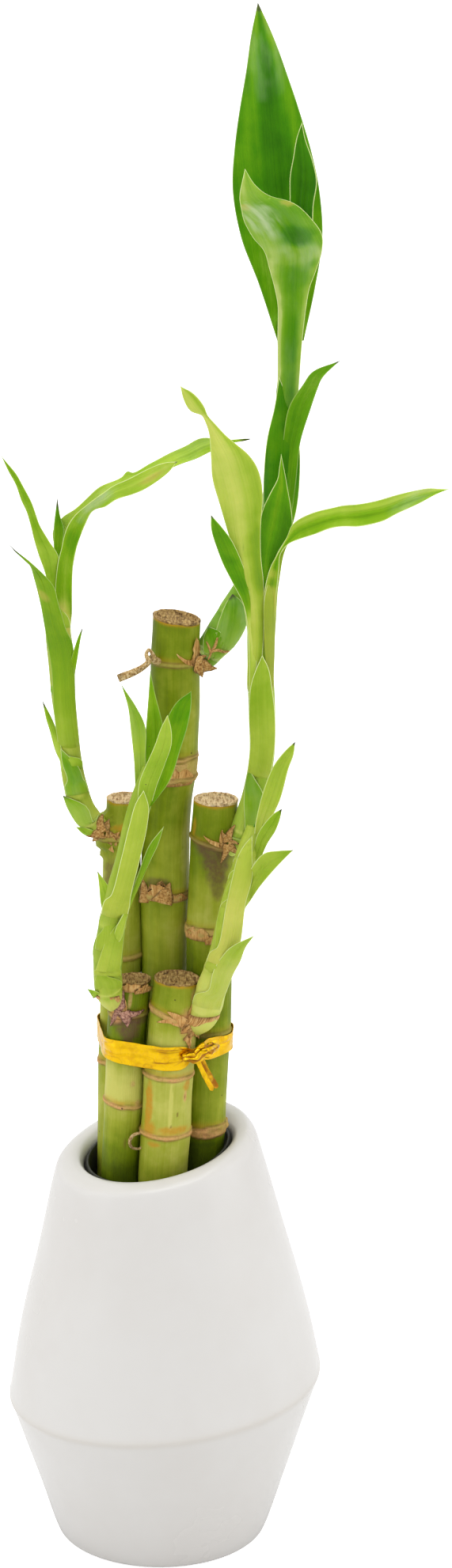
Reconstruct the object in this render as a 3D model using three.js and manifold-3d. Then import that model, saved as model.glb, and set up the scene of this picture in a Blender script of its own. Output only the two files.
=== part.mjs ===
// A lucky bamboo: five cut canes with leafy side shoots, tied with a foil strip, in a lopsided glazed pot.
// Millimetres, +Z up. The origin is the centre of the pot's flat foot, and -Y is the front.
import * as THREE from 'three';
import Module from 'manifold-3d';

// Driving dimensions
const POT_FOOT_RADIUS = 31; // the flat that the pot stands on
const POT_FLOOR_HEIGHT = 6; // top of the pot's inner floor
const POT_SIDES = 40;
const MOUTH_RADIUS = 23.5;
const MOUTH_X = -0.6; // the mouth's centre lies a little left of the foot's
const MOUTH_SLOPE = 0.187; // rise to the right, mm per mm
const MOUTH_LEAN = 0.1; // rise to the back
const CLEARANCE = 0.3; // between two pieces that touch
const LINER_WALL = 1;
const LINER_TOP_RADIUS = 22.9;
const LINER_NECK_RADIUS = 22.7; // where the slanted rim goes over into the plain cup
const LINER_FOOT_RADIUS = 21.5;
const LINER_TOP_HEIGHT = 131.2;
const LINER_NECK_HEIGHT = 117;
const FLAT_ALLOWANCE = 0.2; // the flats of two round walls don't meet side by side
const SOIL_HEIGHT = 118;
const SOIL_EDGE_HEIGHT = 110; // the wall of the soil is steeper above this
const ROUND_SIDES = 32; // sides of the liner and of the soil
const CANE_SIDES = 14;
const CANE_RIM_WIDTH = 0.9; // bark round the sunken dry pith at the cut
const CANE_PITH_DEPTH = 0.7;
const CANE_PITH_INSET = 0.4; // the wall of the sunken pith leans in by this
const SCAR_SHOULDER = 0.7; // height over which a ring scar rises out of the bark
const SCAR_REACH = 7; // a cane has no plain ring this near to a ring scar
const STEM_SIDES = 10;
const STEM_STEP = 9; // length of one stretch of a stem
const LEAF_THICKNESS = 0.8;
const LEAF_STEP = 9; // length of one stretch of a leaf
const NARROW_LEAF = 8; // a leaf under this width has only its midrib between its margins
const TIE_HEIGHT = 8.4;
const TIE_THICKNESS = 0.7;
const TIE_MIDDLE_Z = 168.6;
const TIE_PLAY = 0.7; // between the canes and the strip
const TIE_STEPS = 48;
const TIE_TAIL_CUP = 0.4;

const point = ([x, y, z]) => new THREE.Vector3(x, y, z);
const mix = THREE.MathUtils.lerp;

const wasm = await Module();
wasm.setup();

// Solids from vertices and triangles

function solidFrom(vertices, triangles) {
  const xyz = new Float32Array(vertices.flatMap((v) => [v.x, v.y, v.z]));
  const volume = triangles.reduce((sum, [a, b, c]) => {
    const normal = new THREE.Vector3().crossVectors(vertices[b], vertices[c]);
    return sum + vertices[a].dot(normal);
  }, 0);
  const outward = volume > 0 ? triangles : triangles.map(([a, b, c]) => [a, c, b]);
  return new wasm.Manifold(
    new wasm.Mesh({ numProp: 3, vertProperties: xyz, triVerts: new Uint32Array(outward.flat()) })
  );
}

// A skin over closed rows of points, with a flat fan over the first row and over the last.
function loft(rows) {
  const sides = rows[0].length;
  const vertices = rows.flat();
  const triangles = [];
  for (let row = 0; row + 1 < rows.length; row += 1) {
    for (let side = 0; side < sides; side += 1) {
      const next = (side + 1) % sides;
      const a = row * sides + side;
      const b = row * sides + next;
      triangles.push([a, b, b + sides], [a, b + sides, a + sides]);
    }
  }
  const addFan = (row, flip) => {
    const middle = new THREE.Vector3();
    rows[row].forEach((v) => middle.addScaledVector(v, 1 / sides));
    const centre = vertices.push(middle) - 1;
    for (let side = 0; side < sides; side += 1) {
      const a = row * sides + side;
      const b = row * sides + ((side + 1) % sides);
      triangles.push(flip ? [centre, b, a] : [centre, a, b]);
    }
  };
  addFan(0, true);
  addFan(rows.length - 1, false);
  return solidFrom(vertices, triangles);
}

// A ring that is a circle seen from above, rises to the right by its slope and to the back by its lean.
function slantedRing({ x = 0, y = 0, z, r, slope = 0, lean = 0 }, sides) {
  return Array.from({ length: sides }, (_, side) => {
    const angle = (2 * Math.PI * side) / sides;
    const dx = r * Math.cos(angle);
    const dy = r * Math.sin(angle);
    return new THREE.Vector3(x + dx, y + dy, z + slope * dx + lean * dy);
  });
}

const loftRings = (rings, sides) => loft(rings.map((ring) => slantedRing(ring, sides)));

// The pot, its liner and the soil

// Up the outside, over the thick lip and down the inside. The waist and the lip rise to the right, and the
// lip rises to the back too.
function makePot() {
  const outside = [
    { z: 0, r: POT_FOOT_RADIUS },
    { z: 0.8, r: 33.2 },
    { z: 2.8, r: 34.3 },
    { x: 0.4, z: 20, r: 39.8, slope: 0.03 },
    { x: 0.8, z: 36, r: 45, slope: 0.06 },
    { x: 1.2, z: 49.5, r: 49.4, slope: 0.085 },
    { x: 1.2, z: 51.7, r: 50.2, slope: 0.089 },
    { x: 1.2, z: 53.8, r: 49.8, slope: 0.09 },
    { x: 0.6, z: 80, r: 44.6, slope: 0.105 },
    { x: 0, z: 105, r: 38.2, slope: 0.12 },
    { x: -0.8, z: 126, r: 33.1, slope: 0.14, lean: 0.02 },
    { x: -1, z: 130.6, r: 31.7, slope: 0.16, lean: 0.05 },
  ];
  const mouth = { x: MOUTH_X, slope: MOUTH_SLOPE, lean: MOUTH_LEAN };
  const lip = [
    { x: -1, z: 132.4, r: 30.3, slope: 0.175, lean: 0.08 },
    { ...mouth, x: -0.9, z: 133.4, r: 28.7 },
    { ...mouth, x: -0.8, z: 133.6, r: 27 },
    { ...mouth, z: 133.2, r: 25.4 },
    { ...mouth, z: 132.2, r: 24.4 },
    { ...mouth, z: 130.6, r: 23.7 },
    { ...mouth, z: 128.6, r: MOUTH_RADIUS },
  ];
  const inside = [
    { ...mouth, z: 123.5, r: MOUTH_RADIUS },
    { x: MOUTH_X, z: 115.5, r: 28, slope: 0.16, lean: 0.08 },
    { x: 0, z: 88, r: 36.5, slope: 0.12 },
    { x: 1.2, z: 53, r: 44.6, slope: 0.09 },
    { x: 0.6, z: 26, r: 36.5, slope: 0.04 },
    { z: 9, r: 30 },
    { z: POT_FLOOR_HEIGHT, r: 27 },
  ];
  return loftRings([...outside, ...lip, ...inside], POT_SIDES);
}

// A tall plain cup that stands on the pot's floor; its rim runs along the mouth.
function makeLiner() {
  const foot = POT_FLOOR_HEIGHT + CLEARANCE;
  const level = (z, r) => ({ x: MOUTH_X, z, r });
  const slanted = (z, r) => ({ ...level(z, r), slope: MOUTH_SLOPE, lean: MOUTH_LEAN });
  return loftRings(
    [
      level(foot, LINER_FOOT_RADIUS),
      slanted(LINER_NECK_HEIGHT, LINER_NECK_RADIUS),
      slanted(LINER_TOP_HEIGHT, LINER_TOP_RADIUS),
      slanted(LINER_TOP_HEIGHT, LINER_TOP_RADIUS - LINER_WALL),
      slanted(LINER_NECK_HEIGHT, LINER_NECK_RADIUS - LINER_WALL),
      level(foot + LINER_WALL, LINER_FOOT_RADIUS - LINER_WALL),
    ],
    ROUND_SIDES
  );
}

// Soil up to a flat top, with a plain hole for each cane.
function makeSoil(canes) {
  const bottom = POT_FLOOR_HEIGHT + LINER_WALL + 2 * CLEARANCE;
  const gap = LINER_WALL + CLEARANCE + FLAT_ALLOWANCE;
  const plug = loftRings(
    [
      { x: MOUTH_X, z: bottom, r: LINER_FOOT_RADIUS - gap },
      { x: MOUTH_X, z: SOIL_EDGE_HEIGHT, r: LINER_NECK_RADIUS - FLAT_ALLOWANCE - gap },
      { x: MOUTH_X, z: SOIL_HEIGHT, r: LINER_NECK_RADIUS - gap },
    ],
    ROUND_SIDES
  );
  return canes.reduce((soil, cane) => soil.subtract(makeCane(cane, CLEARANCE)), plug);
}

// Canes

// path: x, y, z and radius from the end in the soil to the cut top. rings: the scars of old sheaths, each
// with its height, its rise to the right, how far it stands out and how wide it is. cut: slope of the top.
const CANES = {
  cane_tall: {
    path: [[0, 6.5, 78, 6], [1, 6.5, 120.5, 6], [1.5, 7, 191, 6.2], [1.5, 7, 214.5, 6.9],
      [2.5, 7.4, 240, 6.95], [4.6, 7.7, 258, 7.4], [5.5, 8, 280, 8], [5.2, 8, 291, 7.4],
      [6, 8, 302.5, 7.3]],
    rings: [
      { z: 214, slope: -0.02, rise: 0.7, width: 3 },
      { z: 252, slope: -0.06, rise: 0.6, width: 1.6 },
      { z: 258.5, slope: -0.06, rise: 0.7, width: 1.6 },
      { z: 287.7, slope: -0.12, rise: 0.7, width: 1.4 },
    ],
    cut: -0.12,
  },
  cane_back_left: {
    path: [[-13, 6.5, 78, 6], [-14, 7, 120.5, 6.1], [-13.5, 7.5, 153, 6], [-11.8, 8, 198, 5.8],
      [-11.6, 8.5, 227, 5.7], [-10.5, 9, 246, 5.5]],
    rings: [
      { z: 158.7, slope: 0, rise: 0.4, width: 1.4 },
      { z: 194, slope: 0.05, rise: 0.6, width: 1.4 },
      { z: 234.6, slope: -0.05, rise: 0.7, width: 3 },
    ],
    cut: 0,
  },
  cane_back_right: {
    path: [[12.5, -0.5, 78, 6.6], [13, 0, 123, 6.7], [14, 0, 138, 6.7], [15.5, 0, 171, 6.8],
      [16, 0, 203, 6.8], [17, 0, 229, 6.9], [18, 0, 247.3, 6.8]],
    rings: [
      { z: 136, slope: 0.05, rise: 0.6, width: 4 },
      { z: 171.5, slope: 0, rise: 0.3, width: 1.4 },
      { z: 203.8, slope: -0.08, rise: 0.6, width: 4 },
      { z: 234.3, slope: -0.26, rise: 0.6, width: 1.4 },
    ],
    cut: -0.03,
  },
  cane_front_left: {
    path: [[-12.5, -6.5, 78, 6], [-12.5, -7, 125.5, 6], [-11, -7, 151.5, 6], [-10, -7.5, 177, 6.3],
      [-8, -7.5, 190.8, 5.8]],
    rings: [
      { z: 149.5, slope: -0.17, rise: 0.5, width: 1.4 },
      { z: 179.5, slope: -0.09, rise: 0.5, width: 1.4 },
    ],
    cut: 0.05,
  },
  cane_front_middle: {
    path: [[0, -10.5, 78, 7.4], [1, -11, 126.5, 7.6], [2, -11, 139.5, 7.6], [3, -11, 160.5, 7.6],
      [4.5, -11, 178, 7.4], [6, -11, 192.5, 7]],
    rings: [
      { z: 141.3, slope: -0.05, rise: 0.6, width: 1.4 },
      { z: 161, slope: -0.03, rise: 0.5, width: 1.4 },
      { z: 180.3, slope: -0.33, rise: 0.6, width: 2 },
    ],
    cut: -0.06,
  },
};

// A dried root that hooks out of the tall cane's upper node: x, y, z and radius.
const DRIED_ROOT = [[1, 4, 291.5, 0.9], [-1.8, 1, 293.5, 0.8], [-2.6, -0.5, 292.5, 0.7],
  [-4, -1.5, 290.3, 0.7], [-6.5, -2, 288.5, 0.8], [-12, -2.5, 286.5, 0.9]];

function placeOnPath(path, z) {
  const above = Math.max(1, path.findIndex((station) => station[2] >= z));
  const low = path[above - 1];
  const high = path[above];
  const share = (z - low[2]) / (high[2] - low[2]);
  const [x, y, , r] = low.map((value, axis) => mix(value, high[axis], share));
  return { x, y, z, r };
}

// grow makes the same cane fatter, as the tool that leaves room for it in a neighbour.
function makeCane({ path, rings, cut }, grow = 0) {
  const foot = path[0][2];
  const top = path.at(-1)[2];
  const scars = rings.flatMap(({ z, slope, rise, width }) => {
    const flat = width / 2;
    const whole = flat + SCAR_SHOULDER;
    return [[-whole, 0], [-flat, rise], [flat, rise], [whole, 0]].map(([lift, out]) => {
      const middle = placeOnPath(path, z + lift);
      return { ...middle, r: middle.r + out + grow, slope };
    });
  });
  const nearScar = (z) => rings.some((ring) => Math.abs(ring.z - z) < SCAR_REACH);
  const plain = path
    .slice(0, -1)
    .map((station) => placeOnPath(path, station[2]))
    .filter(({ z }) => !nearScar(z))
    .map(({ x, y, z, r }) => ({ x, y, z: z === foot ? z - grow : z, r: r + grow, slope: 0 }));
  const rim = { ...placeOnPath(path, top), slope: cut };
  const head = grow
    ? [{ ...rim, r: rim.r + grow, z: top + grow }]
    : [
        rim,
        { ...rim, r: rim.r - CANE_RIM_WIDTH },
        { ...rim, r: rim.r - CANE_RIM_WIDTH - CANE_PITH_INSET, z: top - CANE_PITH_DEPTH },
      ];
  const rows = [...plain, ...scars].sort((a, b) => a.z - b.z);
  return loftRings([...rows, ...head], CANE_SIDES);
}

// Shoots

// A round stem along a smooth line through x, y, z and radius stations.
function makeStem(stations) {
  const line = new THREE.CatmullRomCurve3(stations.map(point));
  const steps = Math.max(4, Math.round(line.getLength() / STEM_STEP));
  const front = new THREE.Vector3(0, 1, 0);
  const rows = Array.from({ length: steps + 1 }, (_, step) => {
    const along = step / steps;
    const middle = line.getPoint(along);
    const tangent = line.getTangent(along);
    const place = along * (stations.length - 1);
    const low = Math.min(Math.floor(place), stations.length - 2);
    const radius = mix(stations[low][3], stations[low + 1][3], place - low);
    const across = new THREE.Vector3().crossVectors(front, tangent).normalize();
    const deep = new THREE.Vector3().crossVectors(tangent, across);
    return Array.from({ length: STEM_SIDES }, (__, side) => {
      const angle = (2 * Math.PI * side) / STEM_SIDES;
      return middle
        .clone()
        .addScaledVector(across, radius * Math.cos(angle))
        .addScaledVector(deep, radius * Math.sin(angle));
    });
  });
  return loft(rows);
}

// A leaf between its two margins. left and right have matching points from the base up, and both run on
// to the tip. cup is how far the midrib stands towards the front, or away from it where negative.
function makeLeaf({ left, right, tip, cup }) {
  const leftLine = new THREE.CatmullRomCurve3([...left, tip].map(point));
  const rightLine = new THREE.CatmullRomCurve3([...right, tip].map(point));
  const steps = Math.max(4, Math.round(leftLine.getLength() / LEAF_STEP));
  const spans = Array.from({ length: steps }, (_, step) => {
    const a = leftLine.getPoint(step / steps);
    const b = rightLine.getPoint(step / steps);
    return { a, b, width: a.distanceTo(b), along: leftLine.getTangent(step / steps) };
  });
  const widest = Math.max(...spans.map((span) => span.width));
  const shares = widest < NARROW_LEAF ? [-1, 0, 1] : [-1, -0.5, 0, 0.5, 1];
  const half = LEAF_THICKNESS / 2;
  const vertices = [];
  let normal;
  spans.forEach(({ a, b, width, along }) => {
    const across = new THREE.Vector3().subVectors(b, a);
    normal = new THREE.Vector3().crossVectors(across, along).normalize();
    const middle = new THREE.Vector3().addVectors(a, b).multiplyScalar(0.5);
    const depth = (cup * width) / widest;
    const line = shares.map((share) =>
      middle
        .clone()
        .addScaledVector(across, share / 2)
        .addScaledVector(normal, depth * (1 - share * share))
    );
    line.forEach((v) => vertices.push(v.clone().addScaledVector(normal, half)));
    line.forEach((v) => vertices.push(v.clone().addScaledVector(normal, -half)));
  });
  const count = shares.length;
  const upper = (step, place) => step * 2 * count + place;
  const lower = (step, place) => upper(step, place) + count;
  const tipUpper = vertices.push(point(tip).addScaledVector(normal, half)) - 1;
  const tipLower = vertices.push(point(tip).addScaledVector(normal, -half)) - 1;
  const triangles = [];
  const addQuad = (a, b, c, d) => triangles.push([a, b, c], [a, c, d]);
  const last = count - 1;
  const end = steps - 1;
  for (let step = 0; step < end; step += 1) {
    const next = step + 1;
    for (let place = 0; place < last; place += 1) { // both faces are split along the same diagonal
      addQuad(upper(step, place), upper(step, place + 1), upper(next, place + 1), upper(next, place));
      triangles.push(
        [lower(step, place), lower(next, place + 1), lower(step, place + 1)],
        [lower(step, place), lower(next, place), lower(next, place + 1)]
      );
    }
    addQuad(upper(step, 0), upper(next, 0), lower(next, 0), lower(step, 0));
    addQuad(upper(step, last), lower(step, last), lower(next, last), upper(next, last));
  }
  for (let place = 0; place < last; place += 1) {
    triangles.push([upper(end, place), upper(end, place + 1), tipUpper]);
    triangles.push([lower(end, place), tipLower, lower(end, place + 1)]);
    addQuad(upper(0, place), lower(0, place), lower(0, place + 1), upper(0, place + 1));
  }
  addQuad(upper(end, 0), tipUpper, tipLower, lower(end, 0));
  addQuad(upper(end, last), lower(end, last), tipLower, tipUpper);
  return solidFrom(vertices, triangles);
}

// Each shoot: the cane that it grows from, its stem as x, y, z and radius, and its leaves.
const SHOOTS = {
  shoot_tall: {
    cane: 'cane_tall',
    stem: [[10, 8.5, 285.5, 4.6], [15.5, 10, 291, 4.7], [20.5, 12, 299, 4.6], [26, 14, 308, 4.3],
      [31.5, 15, 317.5, 4], [34.5, 15, 329, 3.8], [36, 14, 341.5, 3.6], [38, 13, 354, 3.4],
      [39, 12, 366.5, 3.2], [40, 11, 379, 3.3], [40, 10, 391, 3.6]],
    leaves: [
      { // the big back leaf
        left: [[36.5, 12, 388.5], [31, 14.5, 405], [25.5, 15.5, 419.5], [23, 17, 433.5],
          [23.5, 18.5, 445], [25, 20.5, 456.5], [27, 23, 468], [28.5, 25, 478.5]],
        right: [[44.5, 12, 388.5], [48, 14.5, 405], [50, 15.5, 419.5], [49, 17, 433.5], [46.5, 18.5, 445],
          [43, 20.5, 456.5], [39, 23, 468], [35, 25, 478.5]],
        tip: [30.5, 27, 488],
        cup: -2.5,
      },
      { // the front leaf, folded over to the left
        left: [[36.5, 8, 389], [36, 4.5, 404], [34, 1, 413.5], [31, -4, 420], [28.5, -8, 424.5],
          [26, -12.5, 430.5], [24.5, -15, 435], [25.5, -15.5, 441.5]],
        right: [[44, 8, 389], [45, 4.5, 404], [48, 2, 412.5], [50, 0, 419], [48.5, -3, 425.5],
          [43, -6.5, 432], [35, -11, 436], [29, -14.5, 441]],
        tip: [26.5, -15, 444.5],
        cup: 1.6,
      },
      { // the young leaf between them
        left: [[38.5, 10, 384.5], [38.5, 9.5, 400], [39, 8.5, 413.5], [40, 8, 431.5], [40, 7.5, 439],
          [41, 7, 445], [42, 6, 451]],
        right: [[42.5, 10, 384.5], [44, 9, 400], [47, 7.5, 413.5], [47, 6.5, 430], [48, 6, 438],
          [46.5, 5.5, 444.5], [44.5, 5.5, 450.5]],
        tip: [43.5, 5, 455.5],
        cup: -1,
      },
      { // the side leaf, to the right
        left: [[37, 9, 341.5], [38, 8, 356.5], [40, 5, 369.5], [44, 1.5, 377], [47, -2.5, 382]],
        right: [[43, 7, 343.5], [43.5, 6, 358.5], [46.5, 3, 369.5], [48.5, -0.5, 376.5],
          [50, -3.5, 380.5]],
        tip: [55, -8, 386.5],
        cup: -0.8,
      },
      { // the dark leaf that clasps the stem
        left: [[33.5, 11, 321], [32.5, 10, 336.5], [32.5, 9.5, 347.5], [33.5, 9, 359], [35.5, 8.5, 368],
          [36.5, 8, 374.5]],
        right: [[37, 11, 321], [42, 10, 334], [43.5, 9.5, 347.5], [43, 9, 359], [40.5, 8.5, 368],
          [38.5, 8, 374.5]],
        tip: [37, 7.5, 378.5],
        cup: 1.3,
      },
      { // a sheath low on the stem
        left: [[15.5, 6, 291], [18.5, 8, 301], [21, 10, 307]],
        right: [[24.5, 7, 295.5], [27.5, 9, 301.5], [26, 11, 307]],
        tip: [23, 12, 309.5],
        cup: 1,
      },
    ],
  },
  shoot_back_right: {
    cane: 'cane_back_right',
    stem: [[20, -1.5, 231, 3.6], [24.5, -3, 235.5, 3.6], [27.5, -4, 243, 3.6], [30, -4.5, 251, 3.7],
      [32, -4.5, 262.5, 3.9], [32, -4, 276.5, 4.1], [31.5, -4, 291.5, 4], [31.5, -4, 306.5, 3.9],
      [32.5, -4, 319, 3.2], [33, -4, 326, 2.2]],
    leaves: [
      { // the long light leaf, which turns over near its tip
        left: [[28.5, -6, 310.5], [26.5, -8.5, 327.5], [23, -11.5, 339], [19.5, -14.5, 349],
          [17.5, -16.5, 358], [16, -19, 366.5], [14, -19.5, 372], [10.5, -20, 373.5], [8.5, -22, 378]],
        right: [[33, -6, 312], [32, -8.5, 330], [32, -10.5, 342.5], [31.5, -12.5, 351],
          [27.5, -15.5, 358.5], [20, -18, 366.5], [16, -21.5, 372.5], [14.5, -23, 376], [11, -24, 380]],
        tip: [7.5, -25, 382.5],
        cup: 1.2,
      },
      { // the middle leaf
        left: [[31.5, -7, 313.5], [31.5, -8.5, 327.5], [32.5, -9, 341], [35, -9.5, 348.5],
          [36.5, -10, 353.5]],
        right: [[34, -7, 314.5], [36, -7.5, 327], [37.5, -8, 340.5], [38, -8.5, 349], [38.5, -9, 353]],
        tip: [38, -10, 359],
        cup: -0.8,
      },
      { // the long leaf to the right
        left: [[33, -5, 311.5], [34, -7.5, 323.5], [36.5, -8.5, 333], [41, -10, 337.5], [47, -12.5, 341],
          [54.5, -14.5, 343.5], [61, -17.5, 345], [68, -19.5, 347], [75, -23, 350], [81, -25.5, 351.5]],
        right: [[36.5, -5, 310.5], [37, -6.5, 321.5], [38, -9.5, 329.5], [41.5, -12, 332],
          [47.5, -14.5, 335], [54.5, -17.5, 338], [61, -19.5, 338.5], [67, -21.5, 340.5], [73, -24, 344],
          [79.5, -26.5, 348]],
        tip: [87, -30, 352.5],
        cup: -1,
      },
      { // the short dark leaf to the left
        left: [[28.5, -6, 298], [26.5, -7.5, 310.5], [23, -9.5, 318.5], [20, -11, 325],
          [17.5, -13, 332.5], [16.5, -15, 337]],
        right: [[30.5, -7, 298.5], [29, -7.5, 310.5], [27.5, -8.5, 318.5], [26, -10, 324.5],
          [23, -13, 332], [20, -15, 337]],
        tip: [16.5, -17, 341.5],
        cup: 0.8,
      },
    ],
  },
  shoot_back_left: {
    cane: 'cane_back_left',
    stem: [[-15.5, 6, 230.5, 3.4], [-20, 4.5, 236, 3.8], [-23, 3.5, 241.5, 3.8], [-25.5, 3, 250, 3.6],
      [-27, 3, 259, 3.4], [-28, 3, 269, 3.4], [-29, 3, 279.5, 3.7], [-29.5, 3.5, 289.5, 4],
      [-30.5, 4, 300.5, 3.9], [-30.5, 4, 311.5, 3.2], [-30, 4, 320.5, 2]],
    leaves: [
      { // the long leaf to the far left
        left: [[-33.5, 2, 315], [-34, 0, 323.5], [-36, -2.5, 334], [-38, -6, 341], [-40.5, -10.5, 348],
          [-43, -14.5, 354.5]],
        right: [[-29.5, 3, 314.5], [-31, 1, 324], [-33.5, -2.5, 331], [-36, -6, 338.5],
          [-38.5, -10.5, 346.5], [-42, -14.5, 354]],
        tip: [-45.5, -19, 360],
        cup: 0.5,
      },
      { // the sheath leaf under it
        left: [[-33, 2.5, 296], [-34.5, -2, 308.5], [-36, -5.5, 317], [-38, -8, 324],
          [-40.5, -11.5, 328]],
        right: [[-26, 2.5, 292], [-28, -2, 304.5], [-31, -4.5, 315], [-34, -8, 322], [-38, -11.5, 326.5]],
        tip: [-44, -16, 332.5],
        cup: 0.8,
      },
      { // a thin upright leaf
        left: [[-31.5, 6, 320], [-32, 7, 327], [-31.5, 8.5, 332.5], [-31, 10, 336.5]],
        right: [[-28.5, 6, 320], [-29, 7, 327], [-29, 8.5, 332.5], [-29.5, 10, 336.5]],
        tip: [-30.5, 12, 340],
        cup: -0.4,
      },
      { // the long leaf that arches to the right behind
        left: [[-29.5, 6, 312.5], [-29.5, 6.5, 325], [-28, 5, 334.5], [-20.5, 2.5, 343],
          [-15, 2.5, 346.5], [-8.5, 2.5, 349.5], [-2, 4, 352.5], [4, 6, 355], [9, 8.5, 357],
          [13, 11, 358.5], [19.5, 14.5, 357.5]],
        right: [[-27, 6, 312.5], [-26.5, 5.5, 326.5], [-24, 4, 335.5], [-19, 1.5, 339.5], [-14, 0.5, 343],
          [-7, -0.5, 347], [-0.5, 1, 349.5], [6, 3, 352], [11.5, 6.5, 353], [16, 10, 354.5],
          [21, 13.5, 356]],
        tip: [28.5, 17, 357],
        cup: -0.6,
      },
      { // the leaf that arches to the right in front
        left: [[-29, 2, 307.5], [-28.5, 1.5, 321], [-27.5, -1.5, 331], [-24.5, -4.5, 338.5],
          [-20, -8, 343], [-14.5, -11, 347.5], [-8.5, -13.5, 351.5], [-2, -16.5, 355.5],
          [2.5, -19.5, 358]],
        right: [[-26, 2, 308.5], [-25, 0.5, 322], [-23.5, -2.5, 330.5], [-21, -5.5, 339],
          [-16.5, -9, 342], [-10.5, -13, 346.5], [-3.5, -15.5, 349], [2, -17.5, 353], [4.5, -20.5, 357]],
        tip: [6.5, -23, 359],
        cup: -0.6,
      },
      { // a small leaf on the right
        left: [[-27.5, 0, 285.5], [-26.5, -0.5, 291.5], [-25, -2, 297.5]],
        right: [[-25.5, 1, 284], [-24.5, -0.5, 290.5], [-23.5, -2, 296.5]],
        tip: [-23, -3, 303],
        cup: 0.4,
      },
      { // a small leaf on the left
        left: [[-31.5, 2, 261.5], [-33, 1.5, 267.5], [-34.5, 1.5, 273]],
        right: [[-29, 1, 261.5], [-30.5, 0.5, 267.5], [-32.5, 1.5, 272.5]],
        tip: [-35.5, 3, 278],
        cup: 0.4,
      },
    ],
  },
  shoot_front_left: {
    cane: 'cane_front_left',
    stem: [[-13.5, -9, 183, 4], [-15.5, -14, 190, 4.3], [-15.5, -17, 200, 4.4], [-14, -18, 212, 4.2],
      [-11.5, -18.5, 223.5, 4.1], [-9, -18.5, 234, 3.7], [-7, -18.5, 245.5, 3.2], [-4.5, -18, 255.5, 2.6],
      [-2.5, -17, 262.5, 1.8]],
    leaves: [
      { // the front sheath leaf
        left: [[-14, -22, 223.5], [-11, -22.5, 235], [-8.5, -22.5, 245.5], [-6.5, -22, 252.5]],
        right: [[-8, -22, 223.5], [-5, -22.5, 236], [-3, -22.5, 245.5], [-2.5, -22, 251.5]],
        tip: [-4, -21, 256.5],
        cup: 0.9,
      },
      { // the light leaf above it
        left: [[-6, -21, 248.5], [-5.5, -22, 258], [-3.5, -24, 264.5], [-0.5, -26, 272],
          [1.5, -28, 278.5]],
        right: [[-2.5, -21, 248.5], [0, -22, 258], [2.5, -24, 265.5], [4.5, -26, 272.5], [4.5, -28, 278]],
        tip: [3.5, -30, 283],
        cup: 0.9,
      },
      { // the right leaf
        left: [[-4.5, -18, 247.5], [-2.5, -17.5, 259], [-0.5, -17, 267.5], [2, -16.5, 275.5],
          [6, -17, 283]],
        right: [[-1, -18, 251.5], [4, -18.5, 259], [7, -18, 268], [9.5, -17.5, 276.5],
          [10.5, -17, 282.5]],
        tip: [10.5, -18, 287],
        cup: -0.9,
      },
      { // the left leaf
        left: [[-6.5, -17, 252.5], [-7, -15.5, 264.5], [-8, -14, 274.5], [-9, -13, 282]],
        right: [[-3, -16, 252], [-3.5, -14.5, 265.5], [-3.5, -12.5, 274], [-6.5, -12, 280.5]],
        tip: [-11, -11, 287.5],
        cup: -0.8,
      },
      { // the upright leaf behind
        left: [[-3.5, -16, 258.5], [-3.5, -12.5, 271], [-3, -12, 278], [-2.5, -11.5, 284.5]],
        right: [[0.5, -16, 258.5], [2, -12.5, 272.5], [1, -12, 278], [-0.5, -11.5, 284]],
        tip: [-2, -11, 291.5],
        cup: -0.8,
      },
      { // a sharp small leaf on the right
        left: [[-8, -20, 223], [-5, -21.5, 232.5], [-3, -23.5, 239]],
        right: [[-5.5, -20, 221.5], [-3, -21, 231.5], [0, -23, 238.5]],
        tip: [2.5, -25, 246],
        cup: 0.5,
      },
      { // a small leaf on the left
        left: [[-16.5, -19, 212], [-17.5, -18.5, 220], [-18, -17.5, 225]],
        right: [[-12.5, -20, 214], [-13, -19.5, 221], [-15.5, -18, 225.5]],
        tip: [-18.5, -16, 229],
        cup: 0.5,
      },
      { // a scale low on the left
        left: [[-19, -17, 196], [-20, -17, 202], [-19.5, -17, 206.5]],
        right: [[-17, -19, 197], [-17.5, -19, 203], [-17.5, -18.5, 207]],
        tip: [-18, -18, 210.5],
        cup: 0.4,
      },
    ],
  },
  shoot_front_middle: {
    cane: 'cane_front_middle',
    stem: [[11, -11, 177, 4], [14, -15, 181.5, 4.6], [16.5, -16, 190.5, 4.6], [19.5, -16.5, 200, 4.3],
      [22, -16.5, 212.5, 4], [25, -16, 225.5, 3.6], [27.5, -15, 235.5, 3], [29.5, -14, 242.5, 2.2]],
    leaves: [
      { // the tall leaf
        left: [[28.5, -16, 234.5], [30, -16.5, 244.5], [32, -16.5, 253.5], [35.5, -17, 263],
          [39, -17.5, 268]],
        right: [[31.5, -16, 234], [34, -16.5, 244], [37.5, -16.5, 252], [40, -17, 262],
          [41.5, -17.5, 266.5]],
        tip: [42, -18, 271],
        cup: -0.9,
      },
      { // the leaf on its right
        left: [[28, -16, 232], [30.5, -18, 241], [32.5, -20.5, 245.5], [35.5, -21, 249]],
        right: [[30.5, -16, 230], [33.5, -17.5, 238], [36, -20, 243], [37.5, -21, 247.5]],
        tip: [38, -22.5, 251],
        cup: 0.6,
      },
      { // the leaf to the far right
        left: [[25.5, -18, 223.5], [29, -19.5, 231.5], [32.5, -22, 236.5], [37.5, -25, 238.5]],
        right: [[28.5, -18, 220], [31.5, -19, 225], [35, -22, 230.5], [38.5, -25, 235.5]],
        tip: [41.5, -27.5, 239.5],
        cup: -0.6,
      },
      { // the big front leaf
        left: [[18.5, -20, 206], [21, -21, 219.5], [23, -22, 229], [24.5, -22.5, 235.5],
          [26.5, -23, 239.5]],
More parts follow.
